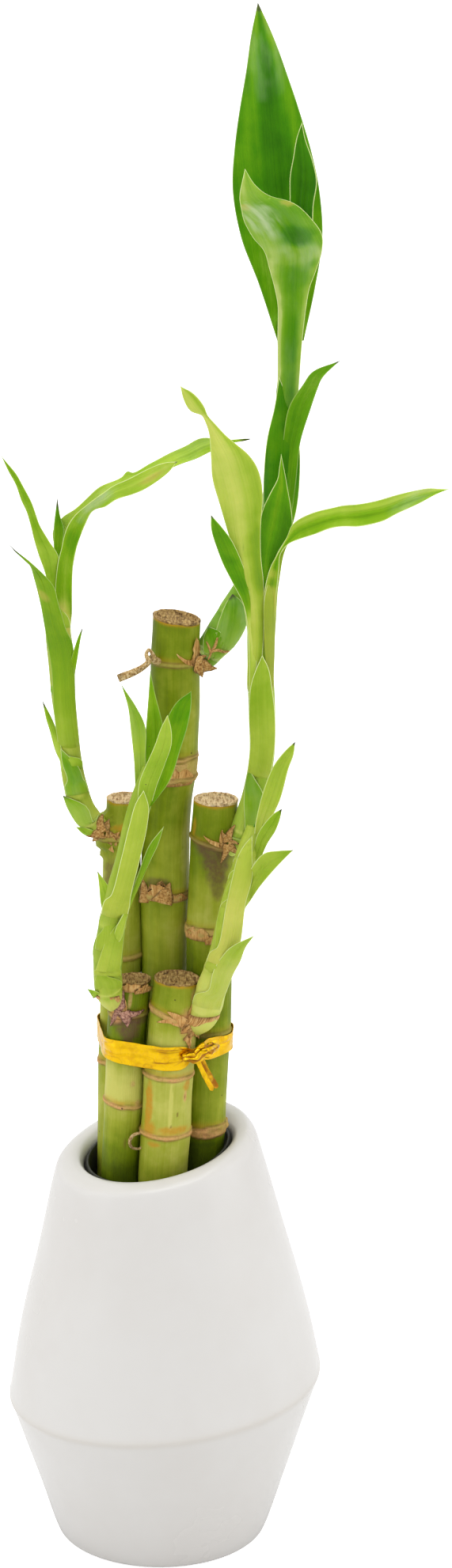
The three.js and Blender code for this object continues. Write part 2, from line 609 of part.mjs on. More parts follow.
        right: [[25.5, -20, 207.5], [27, -20.5, 220], [29, -21.5, 228.5], [29, -22, 235.5],
          [29, -23, 239.5]],
        tip: [29, -24, 243],
        cup: 0.9,
      },
      { // the low sheath leaf
        left: [[15.5, -20, 191.5], [17, -21, 198], [19.5, -22.5, 203], [22.5, -23.5, 207]],
        right: [[21.5, -20, 192], [23.5, -20.5, 197.5], [25.5, -22, 202], [27, -23, 206.5]],
        tip: [29.5, -25, 211],
        cup: 0.8,
      },
      { // a narrow leaf on the left
        left: [[17, -18, 201.5], [18, -18.5, 212], [20, -19, 221.5]],
        right: [[20, -20, 202.5], [20.5, -20.5, 214], [22, -20.5, 222]],
        tip: [23.5, -21, 230],
        cup: 0.4,
      },
    ],
  },
};

// The stem and its leaves as one body, cut back to stand against its cane.
function makeShoot({ cane, stem, leaves }) {
  const grown = leaves.reduce((body, leaf) => body.add(makeLeaf(leaf)), makeStem(stem));
  return grown.subtract(makeCane(CANES[cane], CLEARANCE));
}

// The foil tie

// For each direction the outermost cane at the tie's height, so that the strip lies tight round the bundle.
function tieRows(canes) {
  const places = canes.map(({ path }) => placeOnPath(path, TIE_MIDDLE_Z));
  return Array.from({ length: TIE_STEPS }, (_, step) => {
    const angle = (2 * Math.PI * step) / TIE_STEPS;
    const out = new THREE.Vector3(Math.cos(angle), Math.sin(angle), 0);
    const reach = ({ x, y, r }) => x * out.x + y * out.y + r;
    const cane = places.reduce((best, place) => (reach(place) > reach(best) ? place : best));
    const at = (offset, z) => new THREE.Vector3(cane.x, cane.y, z).addScaledVector(out, cane.r + offset);
    const low = TIE_MIDDLE_Z - TIE_HEIGHT / 2;
    const high = TIE_MIDDLE_Z + TIE_HEIGHT / 2;
    const outer = TIE_PLAY + TIE_THICKNESS;
    return [at(TIE_PLAY, low), at(outer, low), at(outer, high), at(TIE_PLAY, high)];
  });
}

function makeBand(canes) {
  const rows = tieRows(canes);
  const triangles = [];
  rows.forEach((_, step) => {
    const next = (step + 1) % TIE_STEPS;
    for (let corner = 0; corner < 4; corner += 1) {
      const turn = (corner + 1) % 4;
      const [a, b] = [step * 4 + corner, step * 4 + turn];
      const [c, d] = [next * 4 + turn, next * 4 + corner];
      triangles.push([a, b, c], [a, c, d]);
    }
  });
  return solidFrom(rows.flat(), triangles);
}

// The twist between the two front canes and the two short tails that hang from it.
const TIE_TWIST = [[6.5, -20.2, 168.6, 1], [9.5, -19, 168.6, 2.2], [13, -17, 169, 2.8],
  [16.5, -14.5, 169.4, 2.3], [19, -12, 169.6, 1]];
const TIE_TAILS = [
  {
    left: [[11, -18, 168.5], [13, -18.5, 163]],
    right: [[13, -17, 169], [15, -17.5, 164]],
    tip: [17, -17, 157],
  },
  {
    left: [[11, -17, 168], [13, -17, 162.5], [14.5, -16.5, 157.5]],
    right: [[13.5, -16.5, 169], [15, -16.5, 163.5], [16.5, -16, 158.5]],
    tip: [16, -16.2, 156],
  },
];

function makeTie(canes) {
  const band = makeBand(canes).add(makeStem(TIE_TWIST));
  return TIE_TAILS.reduce((tie, tail) => tie.add(makeLeaf({ ...tail, cup: TIE_TAIL_CUP })), band);
}

// Finishes and the finished group

const finish = (color, roughness, metalness = 0) =>
  new THREE.MeshStandardMaterial({ color, roughness, metalness });
const GLAZE = finish('#e9e6e1', 0.2);
const DARK_PLASTIC = finish('#2b2d29', 0.5);
const SOIL = finish('#3b2a1c', 0.95);
const CANE_GREEN = finish('#8aa04a', 0.45);
const DARK_LEAF = finish('#4f8f1f', 0.45);
const LIGHT_LEAF = finish('#8fb83f', 0.45);
const GOLD_FOIL = finish('#e8b80c', 0.25, 0.8);

const group = new THREE.Group();

function addPiece(name, solid, material) {
  const { vertProperties, triVerts } = solid.getMesh();
  const geometry = new THREE.BufferGeometry();
  geometry.setAttribute('position', new THREE.BufferAttribute(vertProperties, 3));
  geometry.setIndex(new THREE.BufferAttribute(triVerts, 1));
  const mesh = new THREE.Mesh(geometry, material);
  mesh.name = name;
  group.add(mesh);
}

addPiece('pot', makePot(), GLAZE);
addPiece('liner', makeLiner(), DARK_PLASTIC);
addPiece('soil', makeSoil(Object.values(CANES)), SOIL);
Object.entries(CANES).forEach(([name, cane]) => {
  const body = makeCane(cane);
  addPiece(name, name === 'cane_tall' ? body.add(makeStem(DRIED_ROOT)) : body, CANE_GREEN);
});
Object.entries(SHOOTS).forEach(([name, shoot]) => {
  addPiece(name, makeShoot(shoot), name === 'shoot_tall' ? DARK_LEAF : LIGHT_LEAF);
});
addPiece('foil_tie', makeTie(Object.values(CANES)), GOLD_FOIL);

export default group;
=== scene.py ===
import math

import bmesh
import bpy
import mathutils
import numpy as np
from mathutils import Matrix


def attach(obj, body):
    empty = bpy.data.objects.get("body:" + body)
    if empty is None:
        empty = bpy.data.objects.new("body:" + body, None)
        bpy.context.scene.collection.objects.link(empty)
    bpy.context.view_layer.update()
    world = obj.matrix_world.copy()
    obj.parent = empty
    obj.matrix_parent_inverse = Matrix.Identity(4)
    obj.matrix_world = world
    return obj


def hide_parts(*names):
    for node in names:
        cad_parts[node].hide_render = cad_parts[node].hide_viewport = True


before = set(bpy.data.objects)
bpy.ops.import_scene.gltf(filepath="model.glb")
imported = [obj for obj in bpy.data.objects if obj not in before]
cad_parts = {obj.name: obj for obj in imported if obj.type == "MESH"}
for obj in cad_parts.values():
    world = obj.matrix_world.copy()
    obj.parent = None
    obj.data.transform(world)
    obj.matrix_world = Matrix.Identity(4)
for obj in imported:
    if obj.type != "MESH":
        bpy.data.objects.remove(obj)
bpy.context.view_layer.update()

MM = 0.001

# The photograph's view: the camera's place in metres, its tilt and its lens for the frame's long side
CAMERA_PLACE = (0.021, -1.260, 0.642)
CAMERA_TILT = 72.8
CAMERA_LENS = 98
SENSOR_SIDE = 36
# How brightly the floor glows towards the camera
FLOOR_GLOW = 0.75

# The pot, its liner and the soil
POT_SIDES = 192
POT_RINGS_A_STRETCH = 8
CREASE_HEIGHT = 51.7
MOUTH_X = -0.6
MOUTH_SLOPE = 0.187
MOUTH_LEAN = 0.1
LINER_FOOT_HEIGHT = 6.3
LINER_FOOT_RADIUS = 21.5
LINER_TOP_HEIGHT = 131.2
LINER_TOP_RADIUS = 22.9
LINER_WALL = 1
SOIL_BOTTOM = 7.6
SOIL_HEIGHT = 118
SOIL_RADIUS = 21.2
SOIL_RINGS = 46
CRUMBS = 260
CRUMB_ROWS = 5
CRUMB_SIDES = 7
CRUMBS_REACH = 20

# Canes
CANE_SIDES = 96
CANE_STEP = 0.5
BURIED_STEP = 4
GRAIN_RADIUS = 7
RIM_WIDTH = 0.9
PITH_DEPTH = 0.7
HOLLOW_END = 2.5
FACE_RINGS = 26

# Dried sheaths, slivers and roots
SCRAP_COLUMNS = 34
SCRAP_STEPS = 12
SLIVER_STEPS = 16
SLIVER_COLUMNS = np.linspace(-1, 1, 7)
TORN_STEPS = 18
PAPER_THICKNESS = 0.25
SLIVER_THICKNESS = 0.2
PAPER_LIFT = 0.4
ROOT_SIDES = 14
ROOT_STEPS = 90

# Stems and leaves
STEM_SIDES = 28
STEM_STEP = 1.2
LEAF_STEP = 1.2
LEAF_MIDDLE_THICKNESS = 0.5
LEAF_MARGIN_THICKNESS = 0.14
HALF_COLUMNS = np.array([0, 0.05, 0.13, 0.24, 0.37, 0.5, 0.63, 0.75, 0.85, 0.92, 0.965, 1])
LEAF_COLUMNS = np.concatenate([-HALF_COLUMNS[:0:-1], HALF_COLUMNS])
SHEATH_GAP = 0.3
SHEATH_SINK = 0.35
STEM_CLEARANCE = 3

# The foil tie
TIE_Z = 168.6
TIE_PLAY = 0.75
TIE_STEPS = 420
TIE_COLUMNS = 41
TAIL_STEPS = 40
TAIL_COLUMNS = 12
KNOT_SIDES = 56
KNOT_STEPS = 70
PINCH_X = 11.3
FOIL_THICKNESS = 0.22

draws = np.random.default_rng(11)


# Shapes from rows of points

def smooth_step(low, high, value):
    share = np.clip((value - low) / (high - low), 0, 1)
    return share * share * (3 - 2 * share)


def bell(value, width):
    return np.exp(-((value / width) ** 2))


def points_of(x, y, z):
    """Points from coordinates that are numbers or arrays."""
    return np.stack(np.broadcast_arrays(x, y, z), -1)


def soft_noise(points, size, seed=0):
    """Smooth values from -1 to 1 that change over a distance of size mm, a number or one for each axis."""
    place = np.asarray(points, float) / size + 31.7 * seed
    base = np.floor(place).astype(np.int64)
    share = place - base
    share = share * share * (3 - 2 * share)
    total = np.zeros(place.shape[:-1])
    for corner in np.ndindex(2, 2, 2):
        cell = base + corner
        mixed = cell[..., 0] * 73856093 ^ cell[..., 1] * 19349663 ^ cell[..., 2] * 83492791
        mixed = (mixed ^ (mixed >> 13)) * 1274126177 & 0x7FFFFFFF
        weight = np.where(corner, share, 1 - share).prod(-1)
        total += weight * (mixed % 20011 / 10005.0 - 1)
    return total


def smooth_line(stations, where):
    """Points on the smooth line through the stations; where counts stations, from 0 to the last one."""
    stations = np.asarray(stations, float)
    around = np.vstack([2 * stations[0] - stations[1], stations, 2 * stations[-1] - stations[-2]])
    low = np.clip(np.floor(where).astype(int), 0, len(stations) - 2)
    share = (where - low)[:, None]
    before, start, end, after = (around[low + step] for step in range(4))

    def spread(a, b):
        return np.sqrt(np.linalg.norm((b - a)[:, :3], axis=1, keepdims=True)).clip(1e-3)

    first, middle, last = spread(before, start), spread(start, end), spread(end, after)
    leave = (start - before) / first - (end - before) / (first + middle) + (end - start) / middle
    arrive = (end - start) / middle - (after - start) / (middle + last) + (after - end) / last
    squared, cubed = share ** 2, share ** 3
    return (
        (2 * cubed - 3 * squared + 1) * start
        + (cubed - 2 * squared + share) * leave * middle
        + (3 * squared - 2 * cubed) * end
        + (cubed - squared) * arrive * middle
    )


def whole_line(stations, count):
    """That many points on the smooth line from its first station to its last."""
    return smooth_line(stations, np.linspace(0, len(stations) - 1, count))


def line_length(points):
    """Distance along a line of points from its first one to each."""
    steps = np.linalg.norm(np.diff(points[:, :3], axis=0), axis=1)
    return np.concatenate([[0], np.cumsum(steps)])


def round_place(line, height):
    """Middle and radius, at some heights, of a line of x, y, z and radius that goes up."""
    return [np.interp(height, line[:, 2], line[:, axis]) for axis in (0, 1, 3)]


def unit(vectors):
    return vectors / np.linalg.norm(vectors, axis=-1, keepdims=True).clip(1e-9)


def turns(sides):
    return np.linspace(0, 2 * math.pi, sides, endpoint=False)


def ring(x, y, z, radius, slope, angles, lean=0):
    """A circle seen from above that rises to the right by its slope and to the back by its lean."""
    across, deep = radius * np.cos(angles), radius * np.sin(angles)
    return np.stack([x + across, y + deep, z + slope * across + lean * deep], -1)


def tube_rows(line, sides, shape):
    """Rings square to a line of x, y, z and radius; shape scales each point's radius."""
    middle, radius = line[:, :3], line[:, 3]
    tangent = unit(np.gradient(middle, axis=0))
    across = unit(np.cross([0, 1, 0.02], tangent))
    deep = np.cross(tangent, across)
    angles = turns(sides)
    reach = radius[:, None] * shape
    sideways = (reach * np.cos(angles))[..., None] * across[:, None]
    return middle[:, None] + sideways + (reach * np.sin(angles))[..., None] * deep[:, None]


class Pile:
    """Closed lofts gathered in one mesh, with the facts that their finish reads at each point."""

    def __init__(self):
        self.points = []
        self.faces = []
        self.facts = {}
        self.size = 0

    def add(self, rows, facts=None, ringed=False):
        """ringed joins the last row to the first; otherwise both ends are closed."""
        count, sides = rows.shape[:2]
        row = np.arange(count if ringed else count - 1)[:, None]
        side = np.arange(sides)[None, :]
        after, turn = (row + 1) % count, (side + 1) % sides
        corners = (row * sides + side, row * sides + turn, after * sides + turn, after * sides + side)
        faces = (np.stack(corners, -1).reshape(-1, 4) + self.size).tolist()
        points = rows.reshape(-1, 3)
        if not ringed:
            points = np.vstack([points, rows[0].mean(0), rows[-1].mean(0)])
            foot, head = self.size + count * sides, self.size + count * sides + 1
            last = self.size + (count - 1) * sides
            for here in range(sides):
                there = (here + 1) % sides
                faces.append((foot, self.size + there, self.size + here))
                faces.append((head, last + here, last + there))
        for name, values in (facts or {}).items():
            values = np.broadcast_to(values, rows.shape[:2] + np.shape(values)[2:])
            flat = values.reshape((count * sides,) + values.shape[2:])
            if not ringed:
                flat = np.concatenate([flat, values[0].mean(0)[None], values[-1].mean(0)[None]])
            self.facts.setdefault(name, []).append(flat)
        self.points.append(points)
        self.faces += faces
        self.size += len(points)

    def add_faces(self, front, back, facts, back_facts=None, ringed=False):
        """A thin sheet between two faces; its back has the front's facts, apart from those given."""
        back_facts = {**facts, **(back_facts or {})}
        joined = {}
        for name in facts:
            pair = [np.broadcast_to(values, front.shape[:2] + np.shape(values)[2:])
                    for values in (facts[name], back_facts[name])]
            joined[name] = np.concatenate([pair[0], pair[1][:, ::-1]], axis=1)
        self.add(np.concatenate([front, back[:, ::-1]], axis=1), joined, ringed)

    def add_sheet(self, grid, thickness, facts, back_facts=None):
        """A thin sheet of some thickness round a grid of points."""
        normal = unit(np.cross(np.gradient(grid, axis=1), np.gradient(grid, axis=0)))
        shift = normal * (np.asarray(thickness) / 2)[..., None]
        self.add_faces(grid + shift, grid - shift, facts, back_facts)

    def make(self, name, finish, slot, *nodes):
        """Makes the finished piece; it stands for the frame's nodes."""
        mesh = bpy.data.meshes.new(name)
        mesh.from_pydata((np.concatenate(self.points) * MM).tolist(), [], self.faces)
        for fact, values in self.facts.items():
            values = np.concatenate(values).astype(np.float32)
            vector = values.ndim == 2
            attribute = mesh.attributes.new(fact, "FLOAT_VECTOR" if vector else "FLOAT", "POINT")
            attribute.data.foreach_set("vector" if vector else "value", values.ravel())
        shaper = bmesh.new()
        shaper.from_mesh(mesh)
        bmesh.ops.recalc_face_normals(shaper, faces=shaper.faces)
        shaper.to_mesh(mesh)
        shaper.free()
        mesh.shade_smooth()
        mesh.materials.append(finish)
        piece = bpy.data.objects.new(name, mesh)
        bpy.context.scene.collection.objects.link(piece)
        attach(piece, "root")
        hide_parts(*nodes)


def make_piece(name, finish, slot, node, rows, facts=None):
    """A piece that is one closed loft."""
    pile = Pile()
    pile.add(rows, facts)
    pile.make(name, finish, slot, node)


# Shader nodes

def shade(red, green, blue):
    """A colour of everyday 0 to 255 values as the light values that a shader takes."""
    light = [((c / 255 + 0.055) / 1.055) ** 2.4 if c > 10 else c / 255 / 12.92 for c in (red, green, blue)]
    return (*light, 1)


class Nodes:
    """A tree of shader nodes, whose inputs are numbers, colours or other nodes' sockets."""

    def __init__(self, tree):
        self.tree = tree

    def plug(self, value, socket):
        if isinstance(value, bpy.types.NodeSocket):
            self.tree.links.new(value, socket)
        else:
            socket.default_value = value

    def add(self, kind, inputs=None, **settings):
        node = self.tree.nodes.new(kind)
        for name, value in settings.items():
            setattr(node, name, value)
        for name, value in (inputs or {}).items():
            self.plug(value, node.inputs[name])
        return node

    def maths(self, operation, first, second):
        return self.add("ShaderNodeMath", {0: first, 1: second}, operation=operation).outputs[0]

    def times(self, first, second):
        return self.maths("MULTIPLY", first, second)

    def plus(self, first, second):
        return self.maths("ADD", first, second)

    def mask(self, value, low, high):
        """0 up to low and 1 from high on, smooth between."""
        inputs = {"Value": value, "From Min": low, "From Max": high}
        return self.add("ShaderNodeMapRange", inputs, interpolation_type="SMOOTHSTEP").outputs[0]

    def mix(self, mask, under, over):
        return self.add("ShaderNodeMix", {0: mask, 6: under, 7: over}, data_type="RGBA").outputs[2]

    def tint(self, colour, mask, strength, over):
        """The colour with another of 0 to 255 values over it, as far as the mask and the strength say."""
        return self.mix(self.times(mask, strength), colour, shade(*over))

    def fact(self, name, output="Fac"):
        return self.add("ShaderNodeAttribute", attribute_name=name).outputs[output]

    def colour_steps(self, value, steps):
        """A colour that changes with the value; steps are the value and the colour, from low to high."""
        node = self.add("ShaderNodeValToRGB", {"Fac": value})
        marks = node.color_ramp.elements
        for place, _ in steps[2:]:
            marks.new(place)
        for mark, (place, colour) in zip(marks, steps):
            mark.position = place
            mark.color = shade(*colour)
        return node.outputs["Color"]

    def use(self, group, **inputs):
        return self.add("ShaderNodeGroup", inputs, node_tree=group).outputs[0]


def new_group(name, output, **inputs):
    """A node group with one number output; its inputs are numbers, or a vector where the default is None."""
    tree = bpy.data.node_groups.new(name, "ShaderNodeTree")
    for label, default in inputs.items():
        kind = "NodeSocketVector" if default is None else "NodeSocketFloat"
        socket = tree.interface.new_socket(label, in_out="INPUT", socket_type=kind)
        if default is not None:
            socket.default_value = default
    tree.interface.new_socket(output, in_out="OUTPUT", socket_type="NodeSocketFloat")
    return Nodes(tree), tree.nodes.new("NodeGroupInput").outputs, tree.nodes.new("NodeGroupOutput").inputs


def make_streaks_group():
    """Uneven lengthwise streaks: Across and Along are the changes per mm in the two directions."""
    nodes, given, made = new_group("lengthwise_streaks", "Streaks", Grain=None, Across=1.0, Along=0.05)
    scale = nodes.add("ShaderNodeCombineXYZ", {0: given["Across"], 1: given["Along"], 2: given["Across"]})
    inputs = {0: given["Grain"], 1: scale.outputs[0]}
    stretched = nodes.add("ShaderNodeVectorMath", inputs, operation="MULTIPLY").outputs[0]
    noise = nodes.add("ShaderNodeTexNoise", {"Vector": stretched, "Scale": 1.0, "Detail": 2.5})
    nodes.plug(noise.outputs[0], made["Streaks"])
    return nodes.tree


def make_blotches_group():
    """Irregular spots: Size in changes per mm, and Low and High where a spot begins and is full."""
    nodes, given, made = new_group("soft_blotches", "Mask", Grain=None, Size=0.2, Low=0.5, High=0.7)
    inputs = {"Vector": given["Grain"], "Scale": given["Size"], "Detail": 4.0, "Roughness": 0.6}
    noise = nodes.add("ShaderNodeTexNoise", inputs)
    nodes.plug(nodes.mask(noise.outputs[0], given["Low"], given["High"]), made["Mask"])
    return nodes.tree


def make_specks_group():
    """Small round dots: Spacing in dots per mm and Reach as a share of the spacing."""
    nodes, given, made = new_group("small_specks", "Mask", Grain=None, Spacing=0.3, Reach=0.1)
    inputs = {"Vector": given["Grain"], "Scale": given["Spacing"], "Randomness": 1.0}
    cells = nodes.add("ShaderNodeTexVoronoi", inputs)
    chance = nodes.add("ShaderNodeSeparateColor", {0: cells.outputs["Color"]}).outputs[0]
    reach = nodes.times(given["Reach"], nodes.mask(chance, 0.45, 1.0))
    outside = nodes.maths("SUBTRACT", cells.outputs["Distance"], reach)
    near = nodes.mask(outside, nodes.times(reach, 0.4), 0.0)
    nodes.plug(nodes.times(near, nodes.mask(chance, 0.45, 0.5)), made["Mask"])
    return nodes.tree


def make_margin_group():
    """A line along a margin: Distance from it in mm and the line's Width."""
    nodes, given, made = new_group("margin_line", "Mask", Distance=1.0, Width=0.3)
    inner = nodes.times(given["Width"], 0.45)
    nodes.plug(nodes.mask(given["Distance"], given["Width"], inner), made["Mask"])
    return nodes.tree


STREAKS = make_streaks_group()
BLOTCHES = make_blotches_group()
SPECKS = make_specks_group()
MARGIN = make_margin_group()


class Finish(Nodes):
    """A material and its shader, whose plain numbers are given by name."""

    def __init__(self, name, grained=True, **constants):
        self.material = bpy.data.materials.new(name)
        self.material.use_nodes = True
        super().__init__(self.material.node_tree)
        self.shader = self.tree.nodes["Principled BSDF"]
        self.grained = grained
        for label, value in constants.items():
            self.shader.inputs[label.replace("_", " ")].default_value = value

    def grain(self):
        """The place in mm along the piece's own grain or, where it has none, on the piece."""
        if self.grained:
            return self.fact("grain", "Vector")
        place = self.add("ShaderNodeTexCoord").outputs["Object"]
        return self.add("ShaderNodeVectorMath", {0: place, "Scale": 1 / MM}, operation="SCALE").outputs[0]

    def streaks(self, across, along):
        return self.use(STREAKS, Grain=self.grain(), Across=across, Along=along)

    def blotches(self, size, low, high):
        return self.use(BLOTCHES, Grain=self.grain(), Size=size, Low=low, High=high)

    def specks(self, spacing, reach):
        return self.use(SPECKS, Grain=self.grain(), Spacing=spacing, Reach=reach)

    def uneven_tone(self, *changes):
        """The tone fact from 0, dark, to 1, pale, swayed by some patterns; changes are (pattern, amount)."""
        tone = self.fact("tone")
        for pattern, amount in changes:
            tone = self.plus(tone, self.times(self.maths("SUBTRACT", pattern, 0.5), amount * 2))
        inputs = {"Value": tone, "From Min": -1.0, "From Max": 1.0}
        return self.add("ShaderNodeMapRange", inputs).outputs[0]

    def done(self, colour, rough, height, depth):
        """The finished material; depth is the bump's in mm where the height goes from 0 to 1."""
        self.plug(colour, self.shader.inputs["Base Color"])
        self.plug(rough, self.shader.inputs["Roughness"])
        bump = self.add("ShaderNodeBump", {"Height": height, "Distance": depth * MM, "Strength": 1.0})
        self.plug(bump.outputs[0], self.shader.inputs["Normal"])
        return self.material


# Finishes

def leaf_finish(name, pleats, steps):
    """Living leaf with lengthwise pleats; steps are its tones from the deepest to the palest."""
    leaf = Finish(name, Specular_IOR_Level=0.1, Subsurface_Weight=0.1, Subsurface_Scale=0.002,
                  Subsurface_Radius=(0.5, 1.0, 0.02))
    broad = leaf.streaks(0.35, 0.012)
    veins = leaf.streaks(2.4, 0.02)
    clouds = leaf.blotches(0.07, 0.35, 0.75)
    colour = leaf.colour_steps(leaf.uneven_tone((broad, pleats), (veins, 0.16), (clouds, 0.16)), steps)
    colour = leaf.tint(colour, leaf.fact("under"), 0.3, (150, 178, 100))
    colour = leaf.tint(colour, leaf.fact("warm"), 0.6, (196, 178, 84))
    # Pale dust, and a painted highlight where a patch lays it over a bend.
    bloom_and_sheen = leaf.fact("bloom_and_sheen")
    sheen_and_dust_streaks = leaf.mask(leaf.streaks(0.3, 0.09), 0.3, 0.75)
    colour = leaf.tint(colour, leaf.times(bloom_and_sheen, sheen_and_dust_streaks), 0.75, (188, 206, 156))
    # The pale margin line; along a fold it is a painted highlight on the bend.
    margin = leaf.use(MARGIN, Distance=leaf.fact("rim"), Width=0.26)
    colour = leaf.tint(colour, margin, leaf.fact("edge"), (222, 236, 160))
    colour = leaf.tint(colour, leaf.specks(0.11, 0.035), 0.7, (92, 84, 40))
    colour = leaf.mix(leaf.fact("tip"), colour, shade(72, 76, 50))
    rough = leaf.plus(leaf.plus(0.4, leaf.times(veins, 0.12)), leaf.times(bloom_and_sheen, 0.15))
    return leaf.done(colour, rough, leaf.plus(veins, leaf.times(broad, 0.6)), 0.16)


def bark_finish():
    """Green bark; the facts say where it is pale, scarred, stained or dried, and where light and shade are
    painted on it.
    """
    bark = Finish("green_bark", Specular_IOR_Level=0.1, Subsurface_Weight=0.05, Subsurface_Scale=0.001)
    broad = bark.streaks(0.3, 0.03)
    fibres = bark.streaks(2.2, 0.06)
    clouds = bark.blotches(0.16, 0.3, 0.75)
    colour = bark.colour_steps(
        bark.uneven_tone((broad, 0.26), (fibres, 0.12), (clouds, 0.12)),
        [(0, (44, 56, 24)), (0.28, (82, 98, 14)), (0.5, (116, 134, 14)), (0.72, (156, 164, 48)),
         (1, (200, 198, 100))],
    )
    broken = bark.plus(0.75, bark.times(bark.blotches(0.9, 0.35, 0.65), 0.25))
    for fact, stain, cover in (
        ("purple", (104, 78, 56), 0.75),
        ("orange", (196, 140, 36), 0.9),
        ("pink", (222, 166, 112), 0.95),
        ("tan", (206, 170, 108), 0.95),
    ):
        colour = bark.tint(colour, bark.times(bark.fact(fact), broken), cover, stain)
    scarred = bark.maths("MAXIMUM", bark.fact("tan"), bark.fact("pink"))
    dark_crust = bark.times(bark.times(scarred, bark.blotches(1.7, 0.45, 0.72)), 0.4)
    colour = bark.mix(dark_crust, colour, shade(132, 90, 46))
    colour = bark.tint(colour, bark.fact("line"), 0.85, (108, 72, 34))
    colour = bark.tint(colour, bark.specks(0.17, 0.05), 0.75, (52, 42, 20))
    rough = bark.plus(0.42, bark.times(scarred, 0.35))
    return bark.done(colour, rough, bark.maths("SUBTRACT", fibres, dark_crust), 0.14)


def dry_finish(name, light, middle, dark, spotted):
    """Dried fibre or pith in three tones; spotted says how much of it has darkened."""
    dry = Finish(name, Specular_IOR_Level=0.2)
    fibres = dry.streaks(1.8, 0.25)
    spots = dry.blotches(0.8, 0.4, 0.7)
    colour = dry.colour_steps(fibres, [(0.3, dark), (0.5, middle), (0.72, light)])
    colour = dry.tint(colour, spots, spotted, dark)
    colour = dry.tint(colour, dry.fact("pore"), 0.9, (58, 42, 26))
    return dry.done(colour, dry.plus(0.65, dry.times(spots, 0.25)), dry.plus(fibres, spots), 0.12)


def glaze_finish():
    """Glossy white glaze, a little warm, with the faint unevenness of a dipped pot and painted shade along
    its waist.
    """
    glaze = Finish("white_glaze", grained=False, Coat_Weight=0.35, Coat_Roughness=0.15,
                   Specular_IOR_Level=0.3)
    pools = glaze.blotches(0.018, 0.3, 0.7)
    colour = glaze.mix(pools, shade(218, 216, 213), shade(214, 211, 207))
    # Painted shade: the glaze darkens along the waist's sharp bend.
    colour = glaze.tint(colour, glaze.fact("crease_shade"), 0.5, (205, 199, 190))
    colour = glaze.tint(colour, glaze.specks(0.045, 0.008), 0.3, (170, 160, 145))
    return glaze.done(colour, glaze.plus(0.2, glaze.times(pools, 0.08)), pools, 0.08)


def liner_finish():
    """Dark grey-green moulded plastic with faint upright streaks and dust near the soil."""
    plastic = Finish("dark_liner", Specular_IOR_Level=0.15)
    streaks = plastic.streaks(0.5, 0.03)
    dust = plastic.blotches(0.5, 0.55, 0.75)
    colour = plastic.mix(streaks, shade(38, 40, 34), shade(66, 68, 58))
    colour = plastic.tint(colour, dust, 0.35, (96, 80, 60))
    return plastic.done(colour, plastic.plus(0.4, plastic.times(dust, 0.3)), streaks, 0.1)


def soil_finish():
    """Dark crumbly soil with paler bits."""
    soil = Finish("potting_soil", grained=False, Specular_IOR_Level=0.2)
    lumps = soil.blotches(0.5, 0.35, 0.7)
    colour = soil.mix(lumps, shade(44, 32, 22), shade(92, 68, 46))
    colour = soil.mix(soil.specks(0.7, 0.3), colour, shade(150, 122, 88))
    return soil.done(colour, 0.95, lumps, 0.6)


def foil_finish():
    """Metallised gold film, with fine creases and painted shade and reflection, orange-brown, in its folds.
    """
    foil = Finish("gold_foil", Coat_Weight=0.3, Coat_Roughness=0.1, Metallic=1)
    creases = foil.streaks(0.9, 0.12)
    folds = foil.blotches(0.3, 0.4, 0.7)
    colour = foil.mix(folds, shade(246, 198, 0), shade(228, 174, 0))
    # Painted shade and reflection: orange-brown where the fold fact says the foil folds.
    colour = foil.tint(colour, foil.fact("fold"), 0.9, (142, 76, 6))
    return foil.done(colour, foil.plus(0.2, foil.times(creases, 0.2)), foil.plus(creases, folds), 0.1)


GLAZE = glaze_finish()
LINER = liner_finish()
SOIL = soil_finish()
BARK = bark_finish()
DEEP_LEAF = leaf_finish(
    "deep_green_leaf", 0.3,
    [(0, (26, 84, 0)), (0.3, (66, 130, 0)), (0.5, (100, 154, 8)), (0.72, (138, 176, 52)),
     (1, (182, 202, 108))],
)
FRESH_LEAF = leaf_finish(
    "fresh_green_leaf", 0.22,
    [(0, (40, 92, 0)), (0.3, (88, 146, 0)), (0.5, (126, 168, 16)), (0.72, (166, 194, 60)),
     (1, (206, 216, 104))],
)
PAPERY = dry_finish("papery_remains", (230, 194, 128), (204, 154, 88), (138, 90, 42), 0.2)
PITH = dry_finish("dried_pith", (250, 228, 188), (230, 200, 152), (158, 118, 74), 0.25)
DARK_PITH = dry_finish("weathered_pith", (212, 180, 118), (168, 134, 80), (92, 62, 32), 0.4)
VIOLET_PAPERY = dry_finish("violet_dried_sheath", (218, 174, 148), (182, 132, 112), (104, 66, 58), 0.3)
ROOT_SKIN = dry_finish("dried_root_skin", (232, 212, 168), (196, 164, 108), (124, 88, 48), 0.2)
FOIL = foil_finish()


